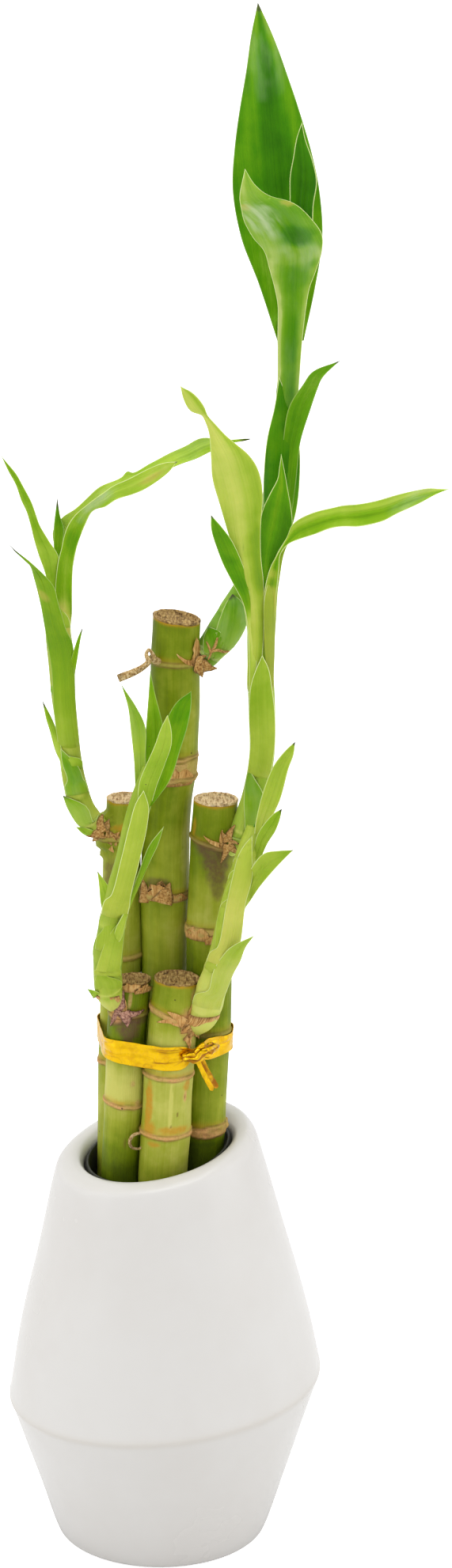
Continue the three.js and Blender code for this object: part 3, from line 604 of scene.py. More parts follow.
# Stems: x, y, z and radius from the cane up
STEMS = {
    "shoot_tall": [
        (10.5, 9, 288.2, 4.2), (15.3, 10, 291.4, 4.5), (20.5, 12, 299, 4.6), (26, 14, 308, 4.3),
        (31.5, 15, 317.5, 4), (34.5, 15, 329, 3.8), (36, 14, 341.5, 3.6), (38, 13, 354, 3.4),
        (39, 12, 366.5, 3.2), (40, 11, 379, 3.3), (40, 10, 391, 3.6)],
    "shoot_back_right": [
        (20, -1.5, 231, 3.6), (24.5, -3, 235.5, 3.6), (27.5, -4, 243, 3.6), (30, -4.5, 251, 3.7),
        (32, -4.5, 262.5, 3.9), (32, -4, 276.5, 4.1), (31.5, -4, 291.5, 4), (31.5, -4, 306.5, 3.9),
        (32.5, -4, 319, 3.2), (33, -4, 326, 2.2)],
    "shoot_back_left": [
        (-17.4, 5.2, 235.6, 3), (-20.4, 4.4, 238.2, 3.7), (-23, 3.5, 241.8, 3.8), (-25.5, 3, 250, 3.6),
        (-27, 3, 259, 3.4), (-28, 3, 269, 3.4), (-29, 3, 279.5, 3.7), (-29.5, 3.5, 289.5, 4),
        (-30.5, 4, 300.5, 3.9), (-30.5, 4, 311.5, 3.2), (-30, 4, 320.5, 2)],
    "shoot_front_left": [
        (-13.5, -9, 183, 3), (-15, -13, 187.5, 4), (-15.5, -15, 192, 4.3), (-15.5, -17, 200, 4.4),
        (-14, -18, 212, 4.2), (-11.5, -18.5, 223.5, 4.1), (-9, -18.5, 234, 3.7), (-7, -18.5, 245.5, 3.2),
        (-4.5, -18, 255.5, 2.6), (-2.5, -17, 262.5, 1.8)],
    "shoot_front_middle": [
        (11, -11, 177, 4), (14, -15, 181.5, 4.6), (16.5, -16, 190.5, 4.6), (19.5, -16.5, 200, 4.3),
        (22, -16.5, 212.5, 4), (25, -16, 225.5, 3.6), (27.5, -15, 235.5, 3), (29.5, -14, 242.5, 2.2)],
}
# A stem's tone at some heights, its yellow cast and the heights of its scars
STEM_TONES = {
    "shoot_tall": [(285, 0.5), (300, 0.3), (312, 0.1), (330, -0.3), (380, -0.2), (391, -0.2)],
    "shoot_back_right": [(231, 0.8), (244, 0.5), (254, 0.3), (262, 0.5), (275, 0.5), (290, 0.3), (326, 0.2)],
    "shoot_back_left": [(234, 0.9), (241, 0.6), (248, 0.3), (265, 0.35), (285, 0.1), (320, 0.1)],
    "shoot_front_left": [(183, 1), (187, 0.9), (192, 0.3), (200, 0.15), (225, 0.2), (262, 0)],
    "shoot_front_middle": [(177, 1), (190, 0.9), (205, 0.5), (242, 0.3)],
}
WARM_STEMS = {
    "shoot_tall": 0, "shoot_back_right": 0.1, "shoot_back_left": 0.45, "shoot_front_left": 0.35,
    "shoot_front_middle": 0.4,
}
STEM_SCARS = {
    "shoot_tall": [303, 322, 346, 372],
    "shoot_back_right": [238],
    "shoot_back_left": [240, 248],
    "shoot_front_left": [191, 200, 212],
    "shoot_front_middle": [185, 191, 198],
}

# What a leaf or a pressed sheath has unless it says otherwise. side is 1 in front of its stem and -1 behind,
# foot is how far in mm its sheath goes on down the stem, gap is how far that stands off and wave is the
# ripple of its margins. edge is how pale the margins are, dark_tip how many mm of the tip have browned,
# bloom its pale dust, which a patch may also lay over a bend as a painted highlight, and warm the yellow
# cast of its base. bands are lengthwise stripes of painted light and shade from the blade's curve: side and
# tone.
# patches are: fact, side, share of the length, half width, half length and strength. fold is a bend across
# the leaf, along which a pale line is painted as a highlight: share and bend.
PLAIN_LEAF = dict(side=1, foot=6, gap=SHEATH_GAP, wave=0.12, edge=0.25, dark_tip=0, bloom_and_sheen=0, warm=0,
                  shading_bands=(), patches=(), fold=None)
# Each leaf has its two margins from the base up and its tip. cup is the rise of its midrib in mm, clasp the
# share of its length that hugs the stem, and tones are those of its base, its middle and its tip.
LEAVES = {}
LEAVES["shoot_tall"] = [
    dict(name="big_back_leaf", cup=-2.5, side=-1, clasp=0.08, tones=(-0.25, -0.55, -0.35), foot=0, wave=0.25,
         dark_tip=3, tip=(30.5, 27, 488),
         left=[(36.5, 12, 388.5), (31, 14.5, 405), (25.5, 15.5, 419.5), (23, 17, 433.5), (23.5, 18.5, 445),
               (25, 20.5, 456.5), (27, 23, 468), (28.5, 25, 478.5)],
         right=[(44.5, 12, 388.5), (48, 14.5, 405), (50, 15.5, 419.5), (49, 17, 433.5), (46.5, 18.5, 445),
                (43, 20.5, 456.5), (39, 23, 468), (35, 25, 478.5)],
         shading_bands=[(-0.65, 0.45), (0.75, 0.5), (0.1, -0.15)],
         patches=[("bloom_and_sheen", 0, 0.86, 1.4, 0.14, 0.3)]),
    dict(name="folded_leaf", cup=1.6, clasp=0.36, tones=(-0.15, 0.05, 0.1), foot=0, wave=0.2, edge=0.9,
         bloom_and_sheen=0.12, fold=(0.88, 0.015), tip=(26.5, -15.5, 445),
         left=[(35.5, 9, 356), (36.5, 7.5, 375), (36.5, 7, 390), (36.5, 6, 400.5), (35.5, 4.5, 406),
               (34, 2.5, 412), (32.5, 0, 417.5), (29, -5, 423), (26.5, -9, 428), (25.5, -12, 432),
               (25, -14, 436), (25.5, -15.5, 440.5)],
         right=[(42, 9, 356), (43, 7.5, 375), (44, 7, 390), (45, 6, 399.5), (46, 4.5, 406), (48, 2.5, 412),
                (49.5, 0, 418), (49.5, -2, 423), (47, -4, 427.5), (41, -8, 433.5), (33.5, -11, 436.5),
                (29.5, -14, 440)],
         shading_bands=[(-0.75, 0.5), (0.2, -0.1)],
         # The two bloom patches by the bend are a painted highlight.
         patches=[("bloom_and_sheen", -0.45, 0.8, 0.6, 0.09, 1.3), ("bloom_and_sheen", 0.3, 0.64, 1, 0.06, 0.4),
                  ("tone", 0.3, 0.72, 0.55, 0.06, -0.55), ("tone", 0, 0.64, 1.4, 0.05, 0.3),
                  ("tone", -1, 0.3, 0.35, 0.35, 0.8), ("tone", 0.95, 0.3, 0.4, 0.35, 0.6),
                  ("tone", 0, 0.95, 1.5, 0.07, 0.2), ("warm", -0.8, 0.86, 0.3, 0.015, 0.9),
                  ("warm", 0.85, 0.85, 0.25, 0.015, 0.9)]),
    dict(name="young_leaf", cup=-1, clasp=0, tones=(-0.6, -0.6, -0.5), foot=0, edge=0.9,
         tip=(43.5, 5, 455.5),
         left=[(38.5, 10, 384.5), (38.5, 9.5, 400), (39, 8.5, 413.5), (40, 8, 431.5), (40, 7.5, 439),
               (41, 7, 445), (42, 6, 451)],
         right=[(42.5, 10, 384.5), (44, 9, 400), (47, 7.5, 413.5), (47, 6.5, 430), (48, 6, 438),
                (46.5, 5.5, 444.5), (44.5, 5.5, 450.5)]),
    dict(name="side_leaf", cup=-0.8, clasp=0.45, tones=(0, 0.1, 0), dark_tip=1.5, tip=(55, -8, 386.5),
         left=[(33.5, 10, 324), (36, 9.5, 341.5), (38, 8, 356.5), (40, 5, 369.5), (44, 1.5, 377),
               (47, -2.5, 382)],
         right=[(39, 10, 324), (42, 8, 343.5), (43.5, 6, 358.5), (46.5, 3, 369.5), (48.5, -0.5, 376.5),
                (50, -3.5, 380.5)]),
    dict(name="clasping_leaf", cup=1.3, clasp=0.7, tones=(0.2, -0.45, -0.3), edge=0.9, tip=(37, 7.5, 378.5),
         left=[(33.5, 11, 321), (32.5, 10, 336.5), (32.5, 9.5, 347.5), (33.5, 9, 359), (35.5, 8.5, 368),
               (36.5, 8, 374.5)],
         right=[(37, 11, 321), (42, 10, 334), (43.5, 9.5, 347.5), (43, 9, 359), (40.5, 8.5, 368),
                (38.5, 8, 374.5)],
         patches=[("tone", 0.5, 0.36, 0.6, 0.14, 0.5)]),
    dict(name="low_sheath", cup=1, clasp=1, tones=(0.85, 0.5, -0.1), foot=1.5, edge=0.7, dark_tip=1.5,
         bloom_and_sheen=0.3, tip=(23, 12, 309.5),
         left=[(15.5, 6, 291), (18.5, 8, 301), (21, 10, 307)],
         right=[(24.5, 7, 295.5), (27.5, 9, 301.5), (26, 11, 307)]),
    dict(name="bud_bract", cup=0.8, clasp=1, tones=(0.9, 0.4, 0), foot=1, edge=0.8, dark_tip=0.8,
         tip=(15.5, 7, 300.5),
         left=[(14, 6, 290), (14, 6, 296.5)],
         right=[(21, 6, 293), (19.5, 7, 298.5)]),
]
LEAVES["shoot_back_right"] = [
    dict(name="long_light_leaf", cup=1.2, clasp=0.36, tones=(0.3, 0.6, 0.85), foot=3, wave=0.3, edge=0.8,
         warm=0.35, tip=(7.5, -25, 382.5),
         left=[(27.5, -5, 284), (27.5, -7, 302), (25.5, -8, 316), (23.5, -9.5, 327.5), (21, -11, 336.5),
               (19, -12.5, 344), (17, -14, 351.5), (16.5, -17, 359), (16, -19, 366.5), (14, -19.5, 372),
               (10.5, -20, 373.5), (8.5, -22, 378)],
         right=[(32.5, -5, 284), (32.5, -7, 302), (32.5, -8, 316.5), (31.5, -9.5, 328), (31.5, -10.5, 337.5),
                (32, -12, 345.5), (31, -14, 353.5), (27.5, -16.5, 360), (20.5, -18.5, 366.5),
                (16, -21.5, 372.5), (14.5, -23, 376), (11, -24, 380)],
         shading_bands=[(0.7, -0.4), (-0.2, 0.15)],
         patches=[("tip", -0.3, 0.46, 0.06, 0.006, 0.9), ("tone", 0.5, 0.42, 0.8, 0.13, -0.4)]),
    dict(name="middle_leaf", cup=-0.8, clasp=0.3, tones=(-0.35, -0.55, -0.35), foot=3, edge=0.9,
         tip=(37.5, -10, 358.5),
         left=[(31, -6, 286), (31, -7.5, 302), (31.5, -8, 316), (31, -8.5, 327.5), (31, -9, 336),
               (32, -9.5, 341), (34, -10, 346), (36.5, -10, 351), (37, -10, 354.5)],
         right=[(34, -6, 286), (34.5, -7, 302), (35, -7.5, 316), (37, -7.5, 326), (40, -8, 331),
                (41, -8, 336), (40.5, -8.5, 342), (39.5, -9, 347.5), (38.5, -9.5, 353.5)],
         shading_bands=[(-0.2, 0.3), (0.5, -0.15)],
         patches=[("edge", 0, 0.15, 2, 0.3, -0.9), ("tone", 0, 0.12, 2, 0.24, 0.5)]),
    dict(name="long_right_leaf", cup=-1, clasp=0.3, tones=(-0.55, -0.1, 0.4), foot=3, wave=0.4, edge=0.8,
         tip=(87, -30, 352.5),
         left=[(32.5, -4.5, 284), (32.5, -6, 301), (32.5, -8, 315), (34.5, -9, 323.5), (36.5, -9.5, 327.5),
               (39, -10, 332.5), (41, -10.5, 337), (47, -12.5, 341), (54.5, -14.5, 343.5), (61, -17.5, 345),
               (68, -19.5, 347), (75, -23, 350), (81, -25.5, 351.5)],
         right=[(35.4, -4.5, 284), (35.7, -6, 301), (36.3, -7.5, 314.5), (37, -9, 322.5), (37.5, -10, 328),
                (40, -11, 331), (43.5, -12.5, 333), (48, -14.5, 335), (54.5, -17.5, 338), (61, -19.5, 338.5),
                (67, -21.5, 340.5), (73, -24, 344), (79.5, -26.5, 348)],
         shading_bands=[(0.1, -0.2), (-0.7, 0.4)],
         patches=[("bloom_and_sheen", 0, 0.92, 1.5, 0.12, 0.5), ("tone", 0, 0.15, 2, 0.24, 0.6),
                  ("warm", 0, 0.15, 2, 0.24, 0.8), ("edge", 0, 0.14, 2, 0.2, -0.8)]),
    dict(name="right_sheath", cup=0.8, clasp=1, tones=(-0.25, -0.15, 0.5), foot=3, gap=0.9, edge=0.7,
         warm=0.8, tip=(40, -5, 330.5),
         left=[(32.3, -4, 286), (32.5, -5, 302), (32.6, -6, 313), (34.4, -6.5, 320), (37, -7, 327)],
         right=[(35.6, -3, 286), (36, -4, 301.5), (36.6, -4.5, 312.5), (37.4, -4.5, 320), (38.6, -4.5, 326)],
         patches=[("edge", 0, 0.3, 2, 0.35, -0.7)]),
    dict(name="short_left_leaf", cup=0.8, clasp=0.45, tones=(0.9, 0, -0.4), foot=3, edge=0.8, dark_tip=1.5,
         tip=(16.5, -17, 341.5),
         left=[(28, -6, 284), (28, -7, 298), (26.5, -7.5, 310.5), (23, -9.5, 318.5), (20, -11, 325),
               (17.5, -13, 332.5), (16.5, -15, 337)],
         right=[(31, -6, 284), (30.5, -7, 298.5), (29, -7.5, 310.5), (27.5, -8.5, 318.5), (26, -10, 324.5),
                (23, -13, 332), (20, -15, 337)],
         patches=[("tone", 0, 0.36, 1.3, 0.14, 0.6), ("tone", 0, 0.62, 1.2, 0.14, -0.3)]),
    dict(name="front_scale", cup=0.9, clasp=1, tones=(0.4, 0.2, 0), foot=20, gap=1.3, edge=1, warm=0.35,
         tip=(32, -8, 295.5),
         left=[(28, -6, 275.5), (28.5, -7, 285), (30, -7.5, 290.5)],
         right=[(36, -6, 275.5), (35, -7, 285), (34, -7.5, 291)]),
    dict(name="low_scale", cup=0.9, clasp=1, tones=(0.4, 0.1, -0.1), edge=0.7, bloom_and_sheen=0.2,
         tip=(28, -8, 259.5),
         left=[(26, -6, 236), (26.5, -7, 249), (27, -7, 255)],
         right=[(31, -7, 238.5), (32.5, -7.5, 250.5), (30, -8, 256)]),
]
LEAVES["shoot_back_left"] = [
    dict(name="far_left_leaf", cup=0.4, clasp=0.2, tones=(0.3, 0.3, -0.05), foot=12, edge=0.7,
         tip=(-46, -19.5, 360.5),
         left=[(-32.5, 1, 309), (-34, 0, 319), (-36, -1, 325.5), (-37.2, -2.5, 330.5), (-38, -4.5, 335),
               (-39, -6.5, 339.5), (-40.6, -9.5, 344.5), (-41.9, -12.5, 349.5), (-43.7, -15, 354)],
         right=[(-29.5, 1, 309), (-30, 0, 319), (-29.8, -1, 324.5), (-32.8, -2, 330), (-35.2, -4, 335),
                (-36.2, -6.5, 339), (-37.6, -9.5, 344), (-39.8, -12.5, 349.5), (-41.6, -15, 353.5)]),
    dict(name="low_left_leaf", cup=0.6, clasp=0.4, tones=(0.35, -0.15, -0.1), foot=25, gap=1.3, edge=0.3,
         dark_tip=5, warm=0.2, tip=(-44, -16.5, 332.3),
         left=[(-32.5, 2, 287.5), (-33.5, 1, 296), (-34.5, -1, 303.5), (-35.2, -3.5, 309.5),
               (-36.3, -6, 315.5), (-37, -8, 319.5), (-38, -11, 324), (-40.3, -13.5, 327.3),
               (-42.6, -15.5, 330.2)],
         right=[(-25.5, 1, 288), (-26, 0, 297.5), (-27.8, -1.5, 302), (-29, -3.5, 307), (-30, -6, 312),
                (-31, -8, 316.5), (-34.3, -11, 322), (-37.4, -13.5, 325.5), (-41.1, -15.5, 329.2)],
         patches=[("warm", -0.3, 0.68, 0.7, 0.03, 0.7)]),
    dict(name="thin_leaf", cup=-0.4, side=-1, clasp=0, tones=(0.05, 0, -0.35), foot=0, dark_tip=4,
         tip=(-30.2, 3, 342),
         left=[(-31.3, 3, 318), (-31.4, 3, 326.7), (-31.3, 3, 333), (-30.7, 3, 338)],
         right=[(-29, 3, 316), (-28.8, 3, 326.3), (-28.3, 3, 332.4), (-29.4, 3, 336.3)]),
    dict(name="rear_arching_leaf", cup=-0.6, side=-1, clasp=0.1, tones=(0.5, 0.5, 0.3), foot=12, wave=0.3,
         dark_tip=3, bloom_and_sheen=0.2, tip=(28.5, 17, 357),
         left=[(-29.5, 6, 312.5), (-31, 6, 324), (-31.7, 5, 331), (-28.7, 4, 335.6), (-24.8, 3, 338.5),
               (-20.9, 2.5, 342.2), (-17, 2.5, 345.6), (-10.7, 2.5, 348.5), (-8.8, 2.5, 350.2),
               (-7, 2.5, 349.7), (-2, 4, 352.5), (4, 6, 355), (9, 8.5, 357), (13, 11, 358.5),
               (19.5, 14.5, 357.5)],
         right=[(-27, 6, 312.5), (-26.5, 5.5, 324), (-26, 5, 330), (-24.5, 3, 333), (-21.5, 2, 336),
                (-18, 1.5, 339.5), (-14, 0.5, 343), (-9.5, 0, 345.5), (-7.5, -0.5, 346.5),
                (-5.5, -0.5, 347.3), (-0.5, 1, 349.5), (6, 3, 352), (11.5, 6.5, 353), (16, 10, 354.5),
                (21, 13.5, 356)]),
    dict(name="front_arching_leaf", cup=-0.6, clasp=0.15, tones=(-0.15, 0.1, 0.5), foot=14, wave=0.3,
         edge=0.8, dark_tip=1, tip=(6.5, -23, 359),
         left=[(-31.3, 0, 310), (-30.8, -0.5, 317), (-30, -1, 323), (-29, -1.5, 327), (-28, -2.5, 331.5),
               (-26.8, -4, 335), (-25, -5.5, 338), (-22.2, -7.5, 341), (-19.5, -8, 343.5), (-16, -9, 346.2),
               (-13.3, -10.5, 348.6), (-8.5, -13.5, 351.5), (-2, -16.5, 355.5), (2.5, -19.5, 358)],
         right=[(-26, 0, 306.5), (-25.8, -0.5, 315), (-25.5, -1, 321), (-24.8, -2, 325), (-24, -2.5, 328.5),
                (-22.8, -3.5, 332), (-21.5, -5, 335.5), (-19.7, -6.5, 339.4), (-18, -7.5, 340.8),
                (-15.3, -9.5, 342.1), (-11.4, -12, 345.1), (-7, -14.2, 347), (-2.8, -16, 349.3),
                (3.5, -19, 354.5)],
         shading_bands=[(0, 0.15)],
         patches=[("bloom_and_sheen", 0, 0.62, 1.3, 0.1, 0.9), ("tone", 0.3, 0.46, 0.9, 0.09, -0.3),
                  ("warm", 0.2, 0.87, 0.5, 0.06, 0.9), ("tone", 0.2, 0.1, 1.2, 0.14, 0.9),
                  ("warm", 0.2, 0.08, 1.2, 0.16, 0.8)]),
    dict(name="small_right_leaf", cup=0.4, clasp=0.4, tones=(0, 0.1, -0.1), dark_tip=2.5,
         tip=(-22.6, -3, 303),
         left=[(-28, 0, 287.5), (-25.8, -0.5, 294.2), (-24.1, -2, 299.6)],
         right=[(-25.5, 0.5, 285.5), (-24.5, -0.5, 292), (-23.4, -2, 298.6)]),
    dict(name="small_left_leaf", cup=0.4, clasp=0.4, tones=(0.3, 0.3, 0.1), edge=0.6, dark_tip=2,
         tip=(-35.5, 3, 278),
         left=[(-31.5, 2, 261.5), (-33, 1.5, 267.5), (-34.5, 1.5, 273)],
         right=[(-29, 1, 261.5), (-30.5, 0.5, 267.5), (-32.5, 1.5, 272.5)]),
    dict(name="upper_collar", cup=0.6, clasp=1, tones=(0.2, -0.1, -0.1), edge=0.7, bloom_and_sheen=0.2,
         tip=(-30, 0, 263.5),
         left=[(-28, -1, 254), (-29.5, 0, 258.5)],
         right=[(-23, 0, 253.5), (-24.5, 0, 257.5)]),
    dict(name="lower_collar", cup=0.6, clasp=1, tones=(0.8, 0.35, 0), foot=3, edge=0.7, dark_tip=1,
         bloom_and_sheen=0.2, tip=(-29.5, 1, 248),
         left=[(-25.5, 1, 239), (-28, 1, 243.5)],
         right=[(-20, 0, 239.5), (-22, 0, 244.5)]),
    dict(name="bud_scale", cup=0.4, clasp=0.6, tones=(0.4, 0.3, 0.2), foot=0, tip=(-25.5, 0, 238),
         left=[(-21.5, 2, 234), (-23.5, 1, 235.5)],
         right=[(-20, 1, 236.5), (-22.5, 1, 237.5)]),
]
LEAVES["shoot_front_left"] = [
    dict(name="front_sheath_leaf", cup=0.9, clasp=1, tones=(0.35, 0.45, 0.2), foot=9, gap=1.5, edge=1,
         warm=0.5, tip=(-4, -21, 256.5),
         left=[(-14, -22, 223.5), (-11, -22.5, 235), (-8.5, -22.5, 245.5), (-6.5, -22, 252.5)],
         right=[(-8, -22, 223.5), (-5, -22.5, 236), (-3, -22.5, 245.5), (-2.5, -22, 251.5)]),
    dict(name="light_leaf", cup=0.9, clasp=0.3, tones=(0.2, 0.3, 0.45), foot=0, edge=0.7, warm=0.1,
         tip=(3.5, -30, 283),
         left=[(-6, -20, 248.5), (-5.5, -21, 258), (-3.5, -23.5, 264.5), (-0.5, -26, 272),
               (1.5, -28, 278.5)],
         right=[(-2.5, -20, 248.5), (0, -21, 258), (2.5, -23.5, 265.5), (4.5, -26, 272.5), (4.5, -28, 278)]),
    dict(name="right_leaf", cup=-0.9, clasp=0.15, tones=(-0.1, 0, -0.45), foot=0, tip=(10.5, -18, 287),
         left=[(-4.5, -18, 247.5), (-2.5, -17.5, 259), (-0.5, -17, 267.5), (2, -16.5, 275.5), (6, -17, 283)],
         right=[(-1, -18, 251.5), (4, -18.5, 259), (7, -18, 268), (9.5, -17.5, 276.5), (10.5, -17, 282.5)]),
    dict(name="left_leaf", cup=-0.8, side=-1, clasp=0.15, tones=(0.5, 0.6, 0), foot=0, bloom_and_sheen=0.2,
         tip=(-11, -11, 287.5),
         left=[(-6.5, -17, 252.5), (-7, -15.5, 264.5), (-8, -14, 274.5), (-9, -13, 282)],
         right=[(-3, -16, 252), (-3.5, -14.5, 265.5), (-3.5, -12.5, 274), (-6.5, -12, 280.5)]),
    dict(name="upright_leaf", cup=-0.8, side=-1, clasp=0.15, tones=(0, 0, -0.1), foot=0,
         tip=(-2, -11, 291.5),
         left=[(-3.5, -16, 258.5), (-3.5, -12.5, 271), (-3, -12, 278), (-2.5, -11.5, 284.5)],
         right=[(0.5, -16, 258.5), (2, -12.5, 272.5), (1, -12, 278), (-0.5, -11.5, 284)]),
    dict(name="sharp_leaf", cup=0.5, clasp=0.5, tones=(0.35, 0.1, -0.25), foot=0, gap=1.2, edge=0.6,
         warm=0.2, tip=(2.1, -21.5, 245.2),
         left=[(-13.4, -20.6, 208.5), (-12.9, -20.8, 212), (-10.9, -21.2, 216), (-8.7, -21.4, 221),
               (-6.2, -21.2, 228.9), (-4.3, -21, 234.4), (-2.1, -21, 239.4)],
         right=[(-12.8, -20.6, 206.5), (-11.2, -20.4, 208.5), (-9.5, -20.2, 214.8), (-6.8, -20.2, 222.4),
                (-3.8, -20.2, 229.6), (-1.6, -20.3, 234.9), (0.3, -20.5, 239)]),
    dict(name="small_left_leaf", cup=0.5, clasp=0.5, tones=(0.35, 0.3, 0.2), foot=9, dark_tip=0.7, warm=0.3,
         tip=(-18.5, -16, 229),
         left=[(-16.5, -19, 212), (-17.5, -18.5, 220), (-18, -17.5, 225)],
         right=[(-12.5, -20, 214), (-13, -19.5, 221), (-15.5, -18, 225.5)]),
    dict(name="left_scale", cup=0.4, clasp=0.6, tones=(0.3, 0.2, 0), foot=7, dark_tip=0.7, warm=0.3,
         tip=(-18, -18, 210.5),
         left=[(-19, -17, 196), (-20, -17, 202), (-19.5, -17, 206.5)],
         right=[(-17, -19, 197), (-17.5, -19, 203), (-17.5, -18.5, 207)]),
    dict(name="lower_collar", cup=0.7, clasp=1, tones=(0.3, 0.35, 0.3), foot=5, warm=0.4,
         tip=(-9.5, -22, 216),
         left=[(-19, -21, 199), (-16, -22, 208), (-13, -22, 213)],
         right=[(-11.5, -21, 199), (-10.5, -22, 208), (-10, -22, 213)]),
    dict(name="bud_scale", cup=0.4, clasp=0.5, tones=(0.4, 0.3, 0.1), foot=0, tip=(-22, -17, 191),
         left=[(-20, -16, 187.5), (-21, -16, 189)],
         right=[(-18, -18, 190), (-20, -17, 190.5)]),
]
LEAVES["shoot_front_middle"] = [
    dict(name="tall_leaf", cup=-0.9, clasp=0.2, tones=(0.6, 0.6, 0.2), foot=4, edge=0.6, dark_tip=1.5,
         warm=0.4, tip=(42, -18, 271),
         left=[(28.5, -16, 234.5), (30, -16.5, 244.5), (32, -16.5, 253.5), (35.5, -17, 263),
               (39, -17.5, 268)],
         right=[(31.5, -16, 234), (34, -16.5, 244), (37.5, -16.5, 252), (40, -17, 262),
                (41.5, -17.5, 266.5)]),
    dict(name="right_leaf", cup=0.6, clasp=0.2, tones=(0.4, 0.25, 0), foot=5, edge=0.6, dark_tip=1.5,
         warm=0.3, tip=(38, -22.5, 251),
         left=[(28, -16, 232), (30.5, -18, 241), (32.5, -20.5, 245.5), (35.5, -21, 249)],
         right=[(30.5, -16, 230), (33.5, -17.5, 238), (36, -20, 243), (37.5, -21, 247.5)]),
    dict(name="far_right_leaf", cup=-0.6, clasp=0.25, tones=(0.4, 0.4, 0.2), foot=5, edge=0.8, dark_tip=1.2,
         warm=0.4, tip=(41.5, -27.5, 239.5),
         left=[(25.5, -18, 223.5), (29, -19.5, 231.5), (32.5, -22, 236.5), (37.5, -25, 238.5)],
         right=[(28.5, -18, 220), (31.5, -19, 225), (35, -22, 230.5), (38.5, -25, 235.5)]),
    dict(name="front_leaf", cup=0.9, clasp=1, tones=(0.75, 0.75, 0.4), foot=9, gap=0.9, edge=0.7, warm=0.7,
         tip=(29, -24, 243),
         left=[(18.5, -20, 206), (21, -21, 219.5), (23, -22, 229), (24.5, -22.5, 235.5), (26.5, -23, 239.5)],
         right=[(25.5, -20, 207.5), (27, -20.5, 220), (29, -21.5, 228.5), (29, -22, 235.5),
                (29, -23, 239.5)]),
    dict(name="low_sheath_leaf", cup=0.8, clasp=0.6, tones=(0.6, 0.6, 0.4), foot=8, edge=0.7, bloom_and_sheen=0.15,
         warm=0.5, tip=(29.5, -25, 211),
         left=[(15.5, -20, 191.5), (17, -21, 198), (19.5, -22.5, 203), (22.5, -23.5, 207)],
         right=[(21.5, -20, 192), (23.5, -20.5, 197.5), (25.5, -22, 202), (27, -23, 206.5)]),
    dict(name="narrow_left_leaf", cup=0.4, clasp=1, tones=(0.35, 0.35, 0.3), foot=6, warm=0.4,
         tip=(23.5, -21, 230),
         left=[(17, -18, 201.5), (18, -18.5, 212), (20, -19, 221.5)],
         right=[(20, -20, 202.5), (20.5, -20.5, 214), (22, -20.5, 222)]),
    dict(name="dark_tip_scale", cup=0.3, side=-1, clasp=0.5, tones=(-0.3, -0.4, -0.4), foot=0,
         tip=(32, -13, 247.5),
         left=[(28, -14, 238.5), (29.5, -13.5, 243)],
         right=[(30.5, -14, 238.5), (31, -13.5, 243)]),
]


# Pot, liner and soil

# The pot's rings from the foot up, over the lip and down inside: shift to the right, radius, height, slope
# to the right and lean to the back
POT_RINGS = [
    (0, 31, 0, 0, 0), (0, 33.2, 0.8, 0, 0), (0, 34.3, 2.8, 0, 0), (0.4, 39.8, 20, 0.03, 0),
    (0.8, 45, 36, 0.06, 0), (1.2, 49.4, 49.5, 0.085, 0), (1.2, 50.2, CREASE_HEIGHT, 0.089, 0),
    (1.2, 49.8, 53.8, 0.09, 0), (0.6, 44.6, 80, 0.105, 0), (0, 38.2, 105, 0.12, 0),
    (-0.8, 33.1, 126, 0.14, 0.02), (-1, 31.7, 130.6, 0.16, 0.05), (-1, 30.3, 132.4, 0.175, 0.08),
    (-0.9, 28.7, 133.4, MOUTH_SLOPE, MOUTH_LEAN), (-0.8, 27, 133.6, MOUTH_SLOPE, MOUTH_LEAN),
    (MOUTH_X, 25.4, 133.2, MOUTH_SLOPE, MOUTH_LEAN), (MOUTH_X, 24.4, 132.2, MOUTH_SLOPE, MOUTH_LEAN),
    (MOUTH_X, 23.7, 130.6, MOUTH_SLOPE, MOUTH_LEAN), (MOUTH_X, 23.5, 128.6, MOUTH_SLOPE, MOUTH_LEAN),
    (MOUTH_X, 23.5, 123.5, MOUTH_SLOPE, MOUTH_LEAN), (MOUTH_X, 28, 115.5, 0.16, 0.08),
    (0, 36.5, 88, 0.12, 0), (1.2, 44.6, 53, 0.09, 0), (0.6, 36.5, 26, 0.04, 0), (0, 30, 9, 0, 0),
    (0, 27, 6, 0, 0),
]


def make_pot():
    """The glazed pot; its foot is true, and the glaze above wavers a little."""
    line = whole_line(POT_RINGS, (len(POT_RINGS) - 1) * POT_RINGS_A_STRETCH + 1)
    angles = turns(POT_SIDES)
    rows = np.stack([
        ring(shift, 0, z, radius, slope, angles, lean) for shift, radius, z, slope, lean in line
    ])
    above_foot = smooth_step(31, 40, line[:, 1])[:, None]
    waver = 0.25 * soft_noise(rows, 24, 3) * above_foot
    rows = rows + unit(rows * (1, 1, 0)) * waver[..., None]
    # Where the glaze gets painted shade: a band along the outside of the waist.
    outside = line[:, 1] > 47
    crease_shade = bell(line[:, 2] - CREASE_HEIGHT, 1.4) * outside
    make_piece("pot_body", GLAZE, "glaze", "pot", rows, {"crease_shade": crease_shade[:, None]})


def upright_grain(rows, seed=0):
    """Grain for something upright and round, with no seam."""
    return points_of(rows[..., 0], rows[..., 2], rows[..., 1] + 20 * seed)


